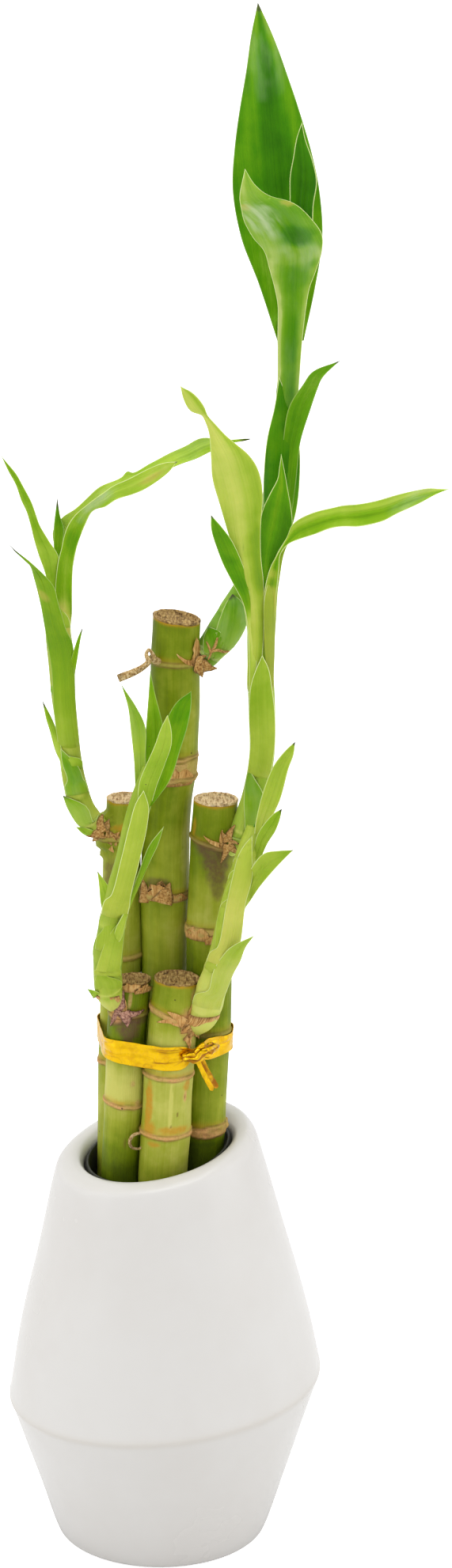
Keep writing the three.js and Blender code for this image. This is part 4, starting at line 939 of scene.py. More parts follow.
def make_liner():
    """The plastic cup inside the pot; its rings are radius, height and share of the mouth's slant."""
    foot, top, wall = LINER_FOOT_HEIGHT, LINER_TOP_HEIGHT, LINER_WALL
    outside = [(LINER_FOOT_RADIUS - 0.8, foot, 0), (LINER_FOOT_RADIUS, foot + 0.8, 0)]
    outside += [(22.7, 117, 1), (LINER_TOP_RADIUS, top - 0.4, 1)]
    inside = [(radius - wall, z, slant) for radius, z, slant in outside[:0:-1]]
    inside[-1] = (LINER_FOOT_RADIUS - wall, foot + wall, 0)
    rim = [(LINER_TOP_RADIUS - 0.25, top, 1), (LINER_TOP_RADIUS - 0.75, top, 1)]
    angles = turns(POT_SIDES)
    rows = np.stack([
        ring(MOUTH_X, 0, z, radius, slant * MOUTH_SLOPE, angles, slant * MOUTH_LEAN)
        for radius, z, slant in outside + rim + inside
    ])
    make_piece("liner_cup", LINER, "liner", "liner", rows, {"grain": upright_grain(rows)})


def soil_height(x, y):
    place = points_of(x, y, 0)
    return SOIL_HEIGHT + 0.9 * soft_noise(place, 5, 5) + 0.4 * soft_noise(place, 1.6, 6) - 0.3


def make_soil():
    """The plug of soil: its buried side, then the uneven top in closer and closer rings."""
    angles = turns(POT_SIDES)
    rows = [ring(MOUTH_X, 0, z, radius, 0, angles) for radius, z in ((20, SOIL_BOTTOM), (21, 110))]
    for radius in np.linspace(SOIL_RADIUS, 0.3, SOIL_RINGS):
        level = ring(MOUTH_X, 0, 0, radius, 0, angles)
        level[:, 2] = soil_height(level[:, 0], level[:, 1])
        rows.append(level)
    make_piece("soil_plug", SOIL, "soil", "soil", np.stack(rows))


def make_crumbs():
    """Lumps of uneven size and shape, strewn over the soil."""
    crumbs = Pile()
    around = turns(CRUMB_SIDES)
    levels = np.linspace(-0.85, 0.85, CRUMB_ROWS)
    for _ in range(CRUMBS):
        size = draws.uniform(0.35, 1.2)
        reach, turn = CRUMBS_REACH * math.sqrt(draws.random()), draws.uniform(0, 2 * math.pi)
        x, y = MOUTH_X + reach * math.cos(turn), reach * math.sin(turn)
        squeeze = draws.uniform(0.6, 1.3, 3) * size
        wide = np.sqrt(1 - levels ** 2)[:, None] * draws.uniform(0.75, 1.2, (CRUMB_ROWS, CRUMB_SIDES))
        lump = points_of(wide * np.cos(around), wide * np.sin(around), levels[:, None])
        crumbs.add(lump * squeeze + (x, y, soil_height(x, y) + 0.3 * size))
    crumbs.make("soil_crumbs", SOIL, "soil", "soil")


# Canes

# path: x, y, z and radius from the end in the soil to the cut top. rings: height, rise to the right, how far
# it stands out, how wide it is and its kind. cut: slope and lean of the top. tones: height and tone from -1,
# dark, to 1, pale; some of the lowest are painted shade. lighter is how much paler the right side is
# painted, as painted light, and darker, as painted shade, where it is below 0. patches: fact, turn from the
# front in degrees, height, half turn, half height and strength; some tone patches are painted highlights and
# shadow, as marked.
# pith and torn are the finishes of the cut face and of the torn points.
CANES = {
    "tall_cane": dict(
        node="cane_tall",
        path=[(0, 6.5, 78, 6), (1, 6.5, 120.5, 6), (1.7, 7, 188, 7.3), (1.7, 7, 214.5, 7.7),
              (2.5, 7.4, 240, 7.2), (4.6, 7.7, 258, 7.3), (5.5, 8, 278, 7.6), (5.2, 8, 291, 7.4),
              (6, 8, 303.3, 7.3)],
        rings=[(215, -0.02, 0.6, 2, "rough"), (252.9, -0.08, 0.6, 1.3, "rough"),
               (256.2, -0.06, 0.15, 5, "fibrous"), (259.7, -0.06, 0.4, 0.8, "rough"),
               (289.7, -0.03, 0.6, 1.2, "line")],
        cut=(-0.15, 0.03),
        tones=[(150, 0), (190, 0.4), (205, 0.5), (213, 0.2), (218, 0.4), (232, 0.35), (240, 0.1),
               (250, 0.05), (262, 0), (280, 0.05), (302, 0.05)],
        side_light=0.2,
        # The first two tone patches are painted highlights down the right side.
        patches=[("tone", 35, 268, 30, 16, 0.3), ("tone", 62, 234, 22, 18, 0.35),
                 ("tone", -60, 232, 50, 12, -0.2), ("purple", -20, 219.5, 40, 2, 0.9),
                 ("line", -62, 277, 3, 0.7, 1)],
        pith=DARK_PITH,
    ),
    "back_left_cane": dict(
        node="cane_back_left",
        path=[(-13, 6.5, 78, 6), (-14, 7, 120.5, 6.1), (-13.5, 7.5, 153, 6), (-11.6, 8, 198, 6.4),
              (-11.6, 8.5, 227, 5.9), (-10.5, 9, 245, 5.5)],
        rings=[(158.7, 0, 0.4, 1, "pink"), (194, 0.05, 0.5, 1.2, "double"),
               (233, -0.05, 0.6, 1.4, "line")],
        cut=(0, 0),
        tones=[(140, 0.4), (145, 0.6), (158, 0.4), (200, 0.6), (214, 0.5), (230, 0.25), (246, 0.4)],
        side_light=-0.05,
        patches=[("purple", -32, 216, 42, 14, 0.85), ("orange", 20, 236.5, 60, 1.6, 0.9),
                 ("purple", 20, 226, 50, 5, 0.35), ("swell", -80, 233.6, 62, 7, 2.5)],
        pith=PITH,
    ),
    "back_right_cane": dict(
        node="cane_back_right",
        path=[(12.5, -0.5, 78, 6.6), (13, 0, 123, 6.7), (14, 0, 138, 6.7), (15.4, 0, 171, 7),
              (15.8, 0, 203, 7.3), (17, 0, 229, 7), (18, 0, 247.3, 6.8)],
        rings=[(139, 0.02, 0.7, 3, "raw"), (171.5, 0, 0.3, 1, "line"), (205, -0.03, 0.5, 3, "rough"),
               (233.6, -0.26, 0.5, 0.9, "line")],
        cut=(-0.03, 0),
        # The dark tones up to 135 are painted shade inside the pot's mouth, and the dip at 180 and 189 is
        # painted shade.
        tones=[(125, -0.55), (135, -0.5), (138, 0.1), (149, 0.3), (180, -0.1), (189, -0.1), (200, 0.2),
               (209, 0.65), (216, 0.45), (226, 0.2), (232, 0), (237, 0), (247, 0.2)],
        side_light=0.12,
        # The tone patch at turn 10 and height 190 is the painted shadow of the shoot's foot.
        patches=[("purple", 4, 231.5, 66, 3.4, 1.2), ("purple", 8, 228, 48, 4, 1.2),
                 ("purple", 12, 224.5, 32, 4.4, 1.1), ("purple", 16, 221, 18, 4.4, 0.9),
                 ("purple", 0, 139, 80, 2.4, 0.5), ("tone", 10, 190, 16, 8, -0.45),
                 ("line", -18, 226, 3.5, 0.5, 0.8), ("line", 22, 225.5, 4, 0.6, 0.8),
                 ("tone", -70, 190, 40, 16, -0.3), ("orange", -62, 238, 10, 4, 0.7)],
        pith=PITH,
    ),
    "front_left_cane": dict(
        node="cane_front_left",
        path=[(-12.5, -6.5, 78, 6), (-12.5, -7, 125.5, 6), (-11, -7, 151.5, 6), (-10, -7.5, 177, 6.3),
              (-8, -7.5, 190.8, 5.8)],
        rings=[(150, -0.17, 0.5, 1, "pink"), (180.3, 0.02, 0.4, 1, "line")],
        cut=(0.05, 0),
        tones=[(125, -0.35), (132, -0.2), (138, 0.1), (143, 0.35), (149, 0.6), (153, 1), (160, 1),
               (166, 0.4), (172, -0.2), (182, -0.05), (191, 0)],
        side_light=-0.05,
        patches=[("purple", 0, 178.8, 75, 2.4, 1.3), ("purple", 6, 175.8, 42, 3.4, 1.2),
                 ("purple", 4, 172.5, 20, 3.4, 1), ("pink", -38, 181, 26, 3.4, 0.9),
                 ("tan", 0, 186, 6, 4, 0.8), ("tan", 25, 158, 9, 1.3, 0.8),
                 ("tan", 45, 151.5, 10, 1.2, 0.8), ("line", 10, 138, 4, 2, 0.5),
                 ("tone", 20, 128, 60, 5, -0.1), ("orange", -60, 186.5, 18, 2, 0.9)],
        pith=DARK_PITH, torn=VIOLET_PAPERY,
    ),
    "front_middle_cane": dict(
        node="cane_front_middle",
        path=[(0, -10.5, 78, 7.4), (1, -11, 126.5, 7.6), (2, -11, 139.5, 7.6), (3, -11, 160.5, 7.6),
              (4.5, -11, 178, 7.4), (6, -11, 192.5, 7)],
        rings=[(141.8, -0.03, 0.55, 1.1, "pink"), (161.3, -0.02, 0.45, 1, "pink"),
               (181, -0.36, 0.5, 1.6, "pink")],
        cut=(-0.06, 0),
        tones=[(128, 0.4), (136, 0.6), (141, 0.5), (143, 0.7), (153, 0.75), (165, 0.7), (172, 0.75),
               (179, 0.5), (184, 0.35), (192, 0.3)],
        side_light=0.15,
        patches=[("orange", -50, 151, 15, 11, 1), ("orange", -44, 144, 24, 3.4, 1),
                 ("orange", -30, 139.3, 20, 1, 0.8), ("orange", 20, 144.2, 55, 1.5, 0.9),
                 ("orange", 50, 159, 12, 2.4, 0.9), ("tone", 9, 152, 3, 10, 0.9),
                 ("pink", 46, 155, 6, 2, 0.9), ("line", 46, 155, 2, 0.7, 0.9),
                 ("line", 26, 149.5, 1.5, 0.9, 0.9), ("line", 36, 151.5, 1.2, 0.6, 0.9),
                 ("pink", 40, 181, 26, 6, 1), ("tan", 52, 188, 12, 3.5, 0.9),
                 ("line", 12, 145.7, 2, 0.4, 0.9)],
        pith=DARK_PITH,
    ),
}

# How the kinds of scar differ: how much of each fact they carry, how ragged they stand and how much they
# have stained the bark above them
SCAR_KINDS = {
    "line": dict(tan=0.5, pink=0, line=1, ragged=0.4, stain=0.5),
    "double": dict(tan=0.6, pink=0.5, line=0.8, ragged=0.3, stain=0.3),
    "pink": dict(tan=0.1, pink=1, line=0.8, ragged=0.6, stain=0.8),
    "rough": dict(tan=0.8, pink=0.5, line=1, ragged=1, stain=0.5),
    "raw": dict(tan=0, pink=0.9, line=1, ragged=1.3, stain=0.6),
    "fibrous": dict(tan=1, pink=0, line=0.6, ragged=0.8, stain=0.3),
}
BARK_FACTS = ("tone", "tan", "pink", "line", "purple", "orange", "swell")


def cane_place(path, height):
    """Middle and radius of a cane at some heights, with its bends eased."""
    path = np.array(path)
    return np.mean([round_place(path, height + lift) for lift in (-6, -3, 0, 3, 6)], axis=0)


def front_turns(angles):
    """Degrees round from the front, positive to the right."""
    return np.degrees(np.arctan2(np.cos(angles), -np.sin(angles)))


def add_scar(facts, relief, level, scar, uneven, ragged):
    """Works a ring scar into the facts and the relief; it has stained the bark above it."""
    z, _, rise, width, kind = scar
    looks = SCAR_KINDS[kind]
    half = width / 2
    lift = np.abs(level - z + 0.5 * uneven * looks["ragged"])
    band = 1 - smooth_step(half, half + 0.35, lift + 0.25 * ragged * looks["ragged"])
    edges = bell(lift - half - 0.2, 0.3) * (0.75 + 0.25 * ragged)
    relief += rise * band * (0.85 + 0.6 * ragged * looks["ragged"]) + 0.18 * bell(level - z, 5)
    stain = bell(level - z - half - 0.9 + 0.5 * uneven, 0.9) * (level > z) * (0.6 + 0.4 * uneven)
    covers = {"orange": looks["stain"] * stain, "line": edges * looks["line"]}
    for fact in ("tan", "pink"):
        covers[fact] = band * looks[fact] * (0.85 + 0.3 * uneven)
    for fact, cover in covers.items():
        facts[fact] = np.maximum(facts[fact], cover)


def make_bark(name, cane, seed):
    """A cane's skin from its end in the soil up, and a little way down into the hollow of its cut top."""
    top = cane["path"][-1][2]
    slope, lean = cane["cut"]
    buried = np.arange(cane["path"][0][2], SOIL_HEIGHT - 2, BURIED_STEP)
    seen = np.arange(SOIL_HEIGHT - 2, top - 0.7, CANE_STEP)
    heights = np.concatenate([buried, seen, [top - 0.4, top - 0.35, top - HOLLOW_END]])
    insets = np.zeros(len(heights))
    insets[-2:] = 0.55
    ring_heights, ring_slopes = zip(*[scar[:2] for scar in cane["rings"]])
    slopes = np.interp(heights, ring_heights + (top,), ring_slopes + (slope,))
    leans = lean * smooth_step(top - 14, top, heights)
    x, y, radius = cane_place(cane["path"], heights)
    angles = turns(CANE_SIDES)
    turn = front_turns(angles)
    place = points_of(GRAIN_RADIUS * np.cos(angles), GRAIN_RADIUS * np.sin(angles), heights[:, None])
    level = place[..., 2]
    facts = {fact: np.zeros(level.shape) for fact in BARK_FACTS}
    # Painted light and shade: lighter makes the right side paler, and darker where it is below 0.
    facts["tone"] += np.interp(level, *zip(*cane["tones"])) + cane["side_light"] * np.cos(angles)
    ribs = soft_noise(place, (1.1, 1.1, 14), seed) * 0.05
    relief = 0.16 * soft_noise(place, (4, 4, 18), seed + 1) + ribs
    ragged = soft_noise(place, (1.6, 1.6, 1.1), seed + 2)
    uneven = soft_noise(place, 3.2, seed + 3)
    for scar in cane["rings"]:
        add_scar(facts, relief, level, scar, uneven, ragged)
    dried_rim = 0.9 * smooth_step(top - 1.5, top - 0.6, level + 0.5 * uneven)
    facts["orange"] = np.maximum(facts["orange"], dried_rim)
    blurred = soft_noise(place, 2.4, seed + 4) + 0.5 * soft_noise(place, 0.8, seed + 5)
    for fact, middle, z, half_turn, half_height, strength in cane["patches"]:
        far = np.hypot((turn - middle) / half_turn, (level - z) / half_height) + 0.2 * blurred
        cover = strength * (1 - smooth_step(0.5, 1.15, far))
        facts[fact] = facts[fact] + cover if fact == "tone" else np.maximum(facts[fact], cover)
    reach = (radius - insets)[:, None] + relief + facts.pop("swell")
    rows = ring(x[:, None], y[:, None], level, reach, slopes[:, None], angles, leans[:, None])
    facts["grain"] = upright_grain(place, seed)
    make_piece(f"{name}_bark", BARK, "cane", cane["node"], rows, facts)


def make_cut_face(name, cane, seed):
    """The dried end of a cane: a fuzzy raised rim round sunken porous pith."""
    top = cane["path"][-1][2]
    slope, lean = cane["cut"]
    x, y, radius = cane_place(cane["path"], top)
    rim = [radius - 0.3, radius + 0.05, radius + 0.1, radius - 0.3, radius - RIM_WIDTH]
    reaches = np.concatenate([rim, np.linspace(radius - RIM_WIDTH - 0.3, 0.2, FACE_RINGS)])
    drops = np.concatenate([[-0.75, -0.6, -0.1, 0.15, 0], np.full(FACE_RINGS, -PITH_DEPTH)])
    angles = turns(CANE_SIDES)
    rows = np.stack([
        ring(x, y, top + drop, reach, slope, angles, lean) for reach, drop in zip(reaches, drops)
    ])
    sunk = smooth_step(0.1, 0.5, -drops)[:, None] * (reaches < radius - 0.6)[:, None]
    pores = np.maximum(soft_noise(rows, 0.75, seed), soft_noise(rows, 1.3, seed + 1))
    pore = smooth_step(0.3, 0.6, pores) * sunk * smooth_step(0.1, 0.5, reaches / radius)[:, None]
    rough = 0.35 * soft_noise(rows, 1.1, seed + 2) * (0.4 + sunk)
    rough = rough + 0.5 * soft_noise(rows, 5, seed + 3) * sunk
    on_top = (np.arange(len(rows)) > 1)[:, None]
    rows[..., 2] += rough * on_top - 0.5 * pore
    frayed = smooth_step(-0.2, 0.5, soft_noise(rows, 2, seed + 4))
    edge = 0.65 * bell(reaches - radius, 0.3)[:, None] * frayed
    facts = {"grain": rows, "pore": pore + edge}
    make_piece(f"{name}_cut_face", cane["pith"], "cane", cane["node"], rows, facts)


# Papery remains of old sheaths on a cane: first and last turn in degrees, foot and top height, how deep the
# top is torn and how far it curls out
REMAINS = {
    "tall_cane": [(-62, 15, 252, 260.5, 3, 0.5), (-40, 60, 251, 257.5, 3, 0.3),
                  (-36, 12, 213.8, 223, 6, 0.8), (-10, 60, 213.5, 216.8, 2, 0.3)],
    "back_left_cane": [(-70, -15, 231, 236.5, 3, 0.7)],
    "back_right_cane": [(-70, 0, 203, 208.5, 3, 0.4), (-10, 80, 202, 206.5, 3, 0.5),
                        (40, 58, 211, 214, 2, 0.9)],
    "front_left_cane": [(-40, 30, 188.5, 192.2, 2, 0.7), (10, 70, 187.8, 191.2, 2, 0.5)],
    "front_middle_cane": [(20, 70, 176.5, 180.5, 3, 0.3)],
}
# The same round the foot of a shoot, where the sheet hangs down from the first height to a torn edge
FRINGES = {
    "shoot_front_left": [(-70, 45, 188.5, 186, 1.4, 0.2)],
    "shoot_front_middle": [(-70, 70, 182.5, 179.6, 1.6, 0.3)],
}
# Slivers: turn and height where each starts, its heading (0 up, 90 to the right), length, width and lift
SLIVERS = {
    "tall_cane": [(61, 290, -10, 8, 6, 0.4), (48, 290, -84, 7, 1.8, 0.15)],
    "back_left_cane": [(-44, 232.5, 70, 5, 3, 0.4), (-60, 232, -80, 5, 3.4, 0.8),
                       (-46, 232, 150, 4, 3, 0.4)],
    "back_right_cane": [(26, 234.4, -40, 5, 2.4, 0.2), (22, 234.2, -80, 7, 1.8, 0.15)],
    "front_left_cane": [(-12, 182, 4, 7.5, 1.6, 0.2), (-32, 182, -70, 5, 3, 0.7)],
    "front_middle_cane": [(40, 178.5, 6, 11, 4.4, 0.2), (34, 178, -28, 9, 4, 0.2),
                          (26, 179.5, -60, 9, 3, 0.15), (38, 176, 70, 8, 3, 1.2),
                          (36, 175.5, 145, 4.5, 3.4, 0.3), (42, 176.5, 98, 7, 2.6, 0.8)],
}
# Torn points that lie over a ring or a shoot's foot: x, y, z and half width along each one's middle
TORN_POINTS = {
    "back_left_cane": [
        [(-17, 1.1, 235.8, 2), (-19.4, 0.9, 235.3, 1.6), (-22.3, 1.6, 234.6, 0.1)],
        [(-17.4, 1, 236, 1.8), (-18, 0.8, 238.8, 1.4), (-17.3, 1.8, 241.6, 0.2)],
        [(-16.6, 1.4, 236, 1.6), (-16, 2, 238, 1), (-15.2, 2.6, 239.8, 0.1)],
        [(-16.4, 1.6, 235, 1.4), (-13.8, 2.5, 234.2, 0.9), (-10.6, 2.1, 233.6, 0.3)],
        [(-16.6, 1.6, 234.8, 1.5), (-15.6, 2.1, 233, 0.9), (-14.4, 2.7, 231.2, 0.1)],
        [(-18.4, 1.2, 235, 1.5), (-19.4, 1.3, 233.8, 0.8), (-20.4, 1.8, 232.8, 0.1)],
    ],
    "front_left_cane": [
        [(-12.4, -13.5, 181.8, 1.2), (-13.9, -13, 179.6, 0.7), (-15, -12.1, 176.8, 0.1)],
        [(-13.3, -13, 183.2, 0.9), (-11.6, -14.2, 181.2, 0.8), (-9.8, -14.7, 178.4, 0.1)],
        [(-9.6, -14.5, 181.5, 1.3), (-7, -14.3, 181.5, 0.8), (-4.4, -12.6, 182.4, 0.1)],
        [(-11.8, -13.9, 182.4, 1.6), (-11.2, -14.2, 185.6, 0.8), (-10.8, -14.3, 189.4, 0.3)],
        [(-10.6, -14.6, 182.4, 2.2), (-9.9, -14.8, 180, 1.5), (-9.6, -14.5, 177.2, 0.1)],
    ],
    "tall_cane": [
        [(11.4, 2.2, 289.2, 2.3), (13.4, 3, 288.8, 2.3), (15.8, 3.8, 288.2, 1.2), (18.3, 4.8, 287.6, 0.1)],
        [(12.6, 2.4, 289, 1.6), (13.2, 3, 287, 1), (13.8, 3.8, 285.2, 0.1)],
        [(12.4, 2.6, 290.6, 1.4), (13.6, 3.2, 291.6, 0.8), (15, 3.8, 292, 0.1)],
        [(-4.3, 0.9, 212.9, 1.8), (-4.3, 0.7, 216.4, 1.5), (-4.8, 1.3, 220.2, 0.2)],
        [(1.2, -1.9, 213.6, 3.6), (2.2, -2, 216.8, 2.2), (3.6, -1.2, 220.2, 0.2)],
    ],
    "back_right_cane": [
        [(21.6, -7, 235.4, 1.4), (21.9, -7.2, 237.4, 1.2), (22.6, -7.1, 239.2, 0.7),
         (23.8, -6.8, 240.8, 0.1)],
        [(21.2, -7.2, 235.4, 1), (20.7, -7.4, 237, 0.7), (19.9, -7.4, 238.6, 0.1)],
        [(21.8, -7, 235.3, 1), (23.4, -7.8, 235.6, 0.55), (25.6, -8.6, 234.8, 0.1)],
        [(21.6, -7, 234.6, 1.3), (23.2, -7.4, 233.2, 1), (25.2, -8.2, 231.6, 0.1)],
        [(21.4, -7, 234.6, 1.5), (20.9, -7.3, 232, 1), (19.4, -7.7, 228.8, 0.1)],
    ],
}


def add_paper(pile, thickness, middle, reach, turn, arc, height, share, seed):
    """A papery sheet round a cane; arc is how far round in mm and share goes from its foot to its end."""
    x, y = middle
    grid = points_of(x + reach * np.sin(turn), y - reach * np.cos(turn), height)
    facts = {"grain": points_of(arc, height, 30 * seed), "pore": 0.45 * (1 - smooth_step(0, 0.3, share))}
    pile.add_sheet(grid, thickness, facts)


def add_scrap(pile, place, first, last, foot, top, torn, curl, seed):
    """A torn sheet that hugs a round stem; place gives the stem's middle and radius at a height."""
    turn = np.radians(np.linspace(first, last, SCRAP_COLUMNS))[None, :]
    share = np.linspace(0, 1, SCRAP_STEPS)[:, None]
    spot = points_of(np.degrees(turn)[0] / 14, top, seed)
    tooth = 0.5 + 0.5 * soft_noise(spot, 1.0, seed) + 0.15 * soft_noise(spot, 0.3, seed + 1)
    ends = np.sin(np.linspace(0.12, math.pi - 0.12, SCRAP_COLUMNS)) ** 0.4
    height = foot + (top - torn * tooth * 0.8 - foot) * ends * share
    x, y, radius = place(height)
    arc = turn * GRAIN_RADIUS
    ruffle = soft_noise(points_of(arc, height, 0), 1.3, seed + 2)
    reach = radius + 0.45 + curl * share ** 2 + 0.22 * ruffle
    add_paper(pile, PAPER_THICKNESS, (x, y), reach, turn, arc, height, share, seed)


def add_sliver(pile, place, turn, z, heading, length, width, lift, seed):
    """A pointed dried strip that starts on a cane and bends away from it."""
    share = np.linspace(0, 1, SLIVER_STEPS)[:, None]
    side = SLIVER_COLUMNS[None, :]
    bend = math.radians(heading) + 0.5 * math.sin(7.3 * seed) * share
    spot = points_of(share * length, 3.1 * seed, side)
    half = width / 2 * (1 - share) ** 0.7 * (1 + 0.25 * soft_noise(spot, 1.2, seed))
    along, across = share * length, side * half
    base = place(z)[2] + PAPER_LIFT
    arc = math.radians(turn) * base + along * np.sin(bend) + across * np.cos(bend)
    height = z + along * np.cos(bend) - across * np.sin(bend)
    x, y, radius = place(height)
    curl = lift * share ** 1.5 + 0.3 * side ** 2 * (1 - share) + 0.2 * soft_noise(spot, 0.9, seed + 1)
    reach = radius + PAPER_LIFT + curl
    add_paper(pile, SLIVER_THICKNESS, (x, y), reach, arc / (radius + PAPER_LIFT), arc, height, share, seed)


def add_torn_point(pile, stations, seed):
    """A pointed papery flap that faces the front and whose margins have dried dark."""
    line = whole_line(stations, TORN_STEPS)
    ahead = unit(np.gradient(line[:, :3], axis=0))
    sideways = unit(np.cross(ahead, (0, -1, 0)))
    share = np.linspace(0, 1, TORN_STEPS)[:, None]
    side = SLIVER_COLUMNS[None, :]
    spot = points_of(5 * share, 2 * side, 3.1 * seed)
    half = line[:, 3:] * (1 + 0.25 * soft_noise(spot, 0.8, seed))
    grid = line[:, None, :3] + (side * half)[..., None] * sideways[:, None]
    grid[..., 1] += 0.25 * half * side ** 2 + 0.2 * soft_noise(spot, 0.7, seed + 1)
    pore = 0.7 * smooth_step(0.6, 1, np.abs(side)) + 0.3 * share
    pile.add_sheet(grid, PAPER_THICKNESS, {"grain": grid, "pore": pore})


def make_remains(name, cane, seed):
    """All that old sheaths have left on a cane."""

    def place(height):
        return cane_place(cane["path"], height)

    remains = Pile()
    for number, scrap in enumerate(REMAINS[name]):
        add_scrap(remains, place, *scrap, seed + number)
    for number, sliver in enumerate(SLIVERS[name]):
        add_sliver(remains, place, *sliver, seed + number)
    remains.make(f"{name}_papery_remains", PAPERY, "cane", cane["node"])
    if name in TORN_POINTS:
        torn = Pile()
        for number, stations in enumerate(TORN_POINTS[name]):
            add_torn_point(torn, stations, seed + number)
        torn.make(f"{name}_torn_points", cane.get("torn", PAPERY), "cane", cane["node"])


# Dried roots and loose fibres: the node and slot that they go with, their finish, then x, y, z and radius
DRIED_ROOTS = {
    "tall_cane_dried_root": (
        "cane_tall", "cane", ROOT_SKIN,
        [(1.5, 3.5, 290, 1), (-0.8, 1, 291.5, 1.1), (-1.6, -0.5, 294, 0.6), (-2.6, -0.8, 295.2, 0.5),
         (-3.4, -1, 293.8, 0.6), (-2.8, -1.3, 291.6, 0.9), (-4.5, -1.5, 289.8, 1.05), (-8, -2, 288, 1.15),
         (-12, -2.5, 286.5, 1.25)],
    ),
    "tall_shoot_long_fibre": (
        "shoot_tall", "dark_leaf", PAPERY,
        [(16.3, 4.4, 293, 0.4), (18.4, 4.8, 293.5, 0.45), (20.4, 5.7, 292.7, 0.4), (21.9, 7.2, 292.5, 0.25)],
    ),
    "tall_shoot_upper_fibre": (
        "shoot_tall", "dark_leaf", PAPERY,
        [(16.7, 4.5, 293.3, 0.4), (17.7, 4.9, 294.9, 0.45), (18.4, 5.6, 297.3, 0.25)],
    ),
    "tall_shoot_left_fibre": (
        "shoot_tall", "dark_leaf", PAPERY,
        [(15, 6, 295.9, 0.2), (15.8, 5, 294.4, 0.35), (16.3, 4.3, 292.6, 0.35), (15.5, 3.9, 290.7, 0.2)],
    ),
    "front_cane_root_loop": (
        "cane_front_middle", "cane", ROOT_SKIN,
        [(-5.6, -13, 141.5, 0.5), (-8, -14, 141, 0.55), (-9.2, -14.2, 139, 0.5), (-8.6, -14, 137, 0.45),
         (-6.4, -13.6, 136.3, 0.4), (-5, -12.6, 136.8, 0.4)],
    ),
}


def make_roots():
    angles = turns(ROOT_SIDES)
    for seed, (name, (node, slot, finish, stations)) in enumerate(DRIED_ROOTS.items()):
        line = whole_line(stations, ROOT_STEPS)
        spot = points_of(np.cos(angles), np.sin(angles), line_length(line)[:, None])
        shape = 1 + 0.14 * soft_noise(spot, (0.9, 0.9, 3), seed)
        pore = 0.5 * smooth_step(0.2, 0.6, soft_noise(spot, (0.6, 0.6, 2), seed + 4))
        rows = tube_rows(line, ROOT_SIDES, shape)
        make_piece(name, finish, slot, node, rows, {"grain": spot, "pore": pore})


# Stems and leaves

def make_fringes(shoot, stem, slot, seed):
    fringes = Pile()

    def place(height):
        return round_place(stem, height)

    for number, fringe in enumerate(FRINGES[shoot]):
        add_scrap(fringes, place, *fringe, seed + number)
    fringes.make(f"{shoot}_papery_fringe", PAPERY, slot, shoot)


def make_stem(shoot, stem, finish, slot, seed):
    """A stem with the ridges that old sheaths have left round it."""
    angles = turns(STEM_SIDES)
    spot = points_of(4 * np.cos(angles), line_length(stem)[:, None], 4 * np.sin(angles))
    shape = 1 + 0.02 * soft_noise(spot, (1.2, 12, 1.2), seed)
    tone = np.interp(stem[:, 2], *zip(*STEM_TONES[shoot]))[:, None] + 0 * shape
    for z in STEM_SCARS[shoot]:
        lift = stem[:, 2][:, None] - z + 0.8 * np.cos(angles + z)
        shape += 0.035 * smooth_step(-1, 0, lift) * (1 - smooth_step(0, 5, lift))
        tone += 0.5 * bell(lift, 0.35) - 0.25 * bell(lift + 1, 0.8)
    facts = {"grain": spot + (0, 0, 20 * seed), "tone": tone, "warm": WARM_STEMS[shoot], "bloom_and_sheen": 0.1}
    facts.update(rim=9, edge=0, under=0, tip=0)
    make_piece(f"{shoot}_stem", finish, slot, shoot, tube_rows(stem, STEM_SIDES, shape), facts)


def hug_stem(grid, weight, gap, stem, side):
    """Moves a sheet's points along the line of sight onto the stem's front or back, by each row's weight."""
    flat = grid[..., (0, 2)][:, :, None, :] - stem[None, None, :, (0, 2)]
    away = np.hypot(flat[..., 0], flat[..., 1])
    near = away.argmin(-1)
    away = away.min(-1)
    reach = stem[near, 3] + gap[:, None]
    depth = stem[near, 1] - side * np.sqrt((reach ** 2 - away ** 2).clip(0))
    sight = grid - np.array(CAMERA_PLACE) / MM
    sight = sight / sight[..., 1:2]
    return grid + sight * ((depth - grid[..., 1]) * weight[:, None])[..., None]


def sheath_foot(leaf, stem, drop):
    """Both margins' places on the stem's outline, drop mm under the leaf's own lowest points."""
    height = min(leaf["left"][0][2], leaf["right"][0][2]) - drop
    height = max(height, stem[0, 2] + STEM_CLEARANCE)
    x, y, radius = round_place(stem, height)
    near = np.abs(stem[:, 2] - height).argmin()
    ahead = unit((stem[min(near + 2, len(stem) - 1)] - stem[max(near - 2, 0)])[[0, 2]])
    sideways = 0.96 * radius * np.array([ahead[1], 0, -ahead[0]])
    middle = np.array([x, y, height])
    return middle - sideways, middle + sideways


def leaf_margins(leaf, stem):
    """Both margins with the sheath's foot and the tip, and the share of the leaf that hugs the stem."""
    left = np.array(leaf["left"] + [leaf["tip"]], float)
    right = np.array(leaf["right"] + [leaf["tip"]], float)
    foot, clasp = leaf["foot"], leaf["clasp"]
    if foot:
        free = line_length((left + right) / 2)[-1]
        low, high = sheath_foot(leaf, stem, foot), sheath_foot(leaf, stem, foot / 2)
        left = np.vstack([low[0], high[0], left])
        right = np.vstack([low[1], high[1], right])
        clasp = min((clasp * free + foot) / (free + foot), 1)
    return left, right, clasp


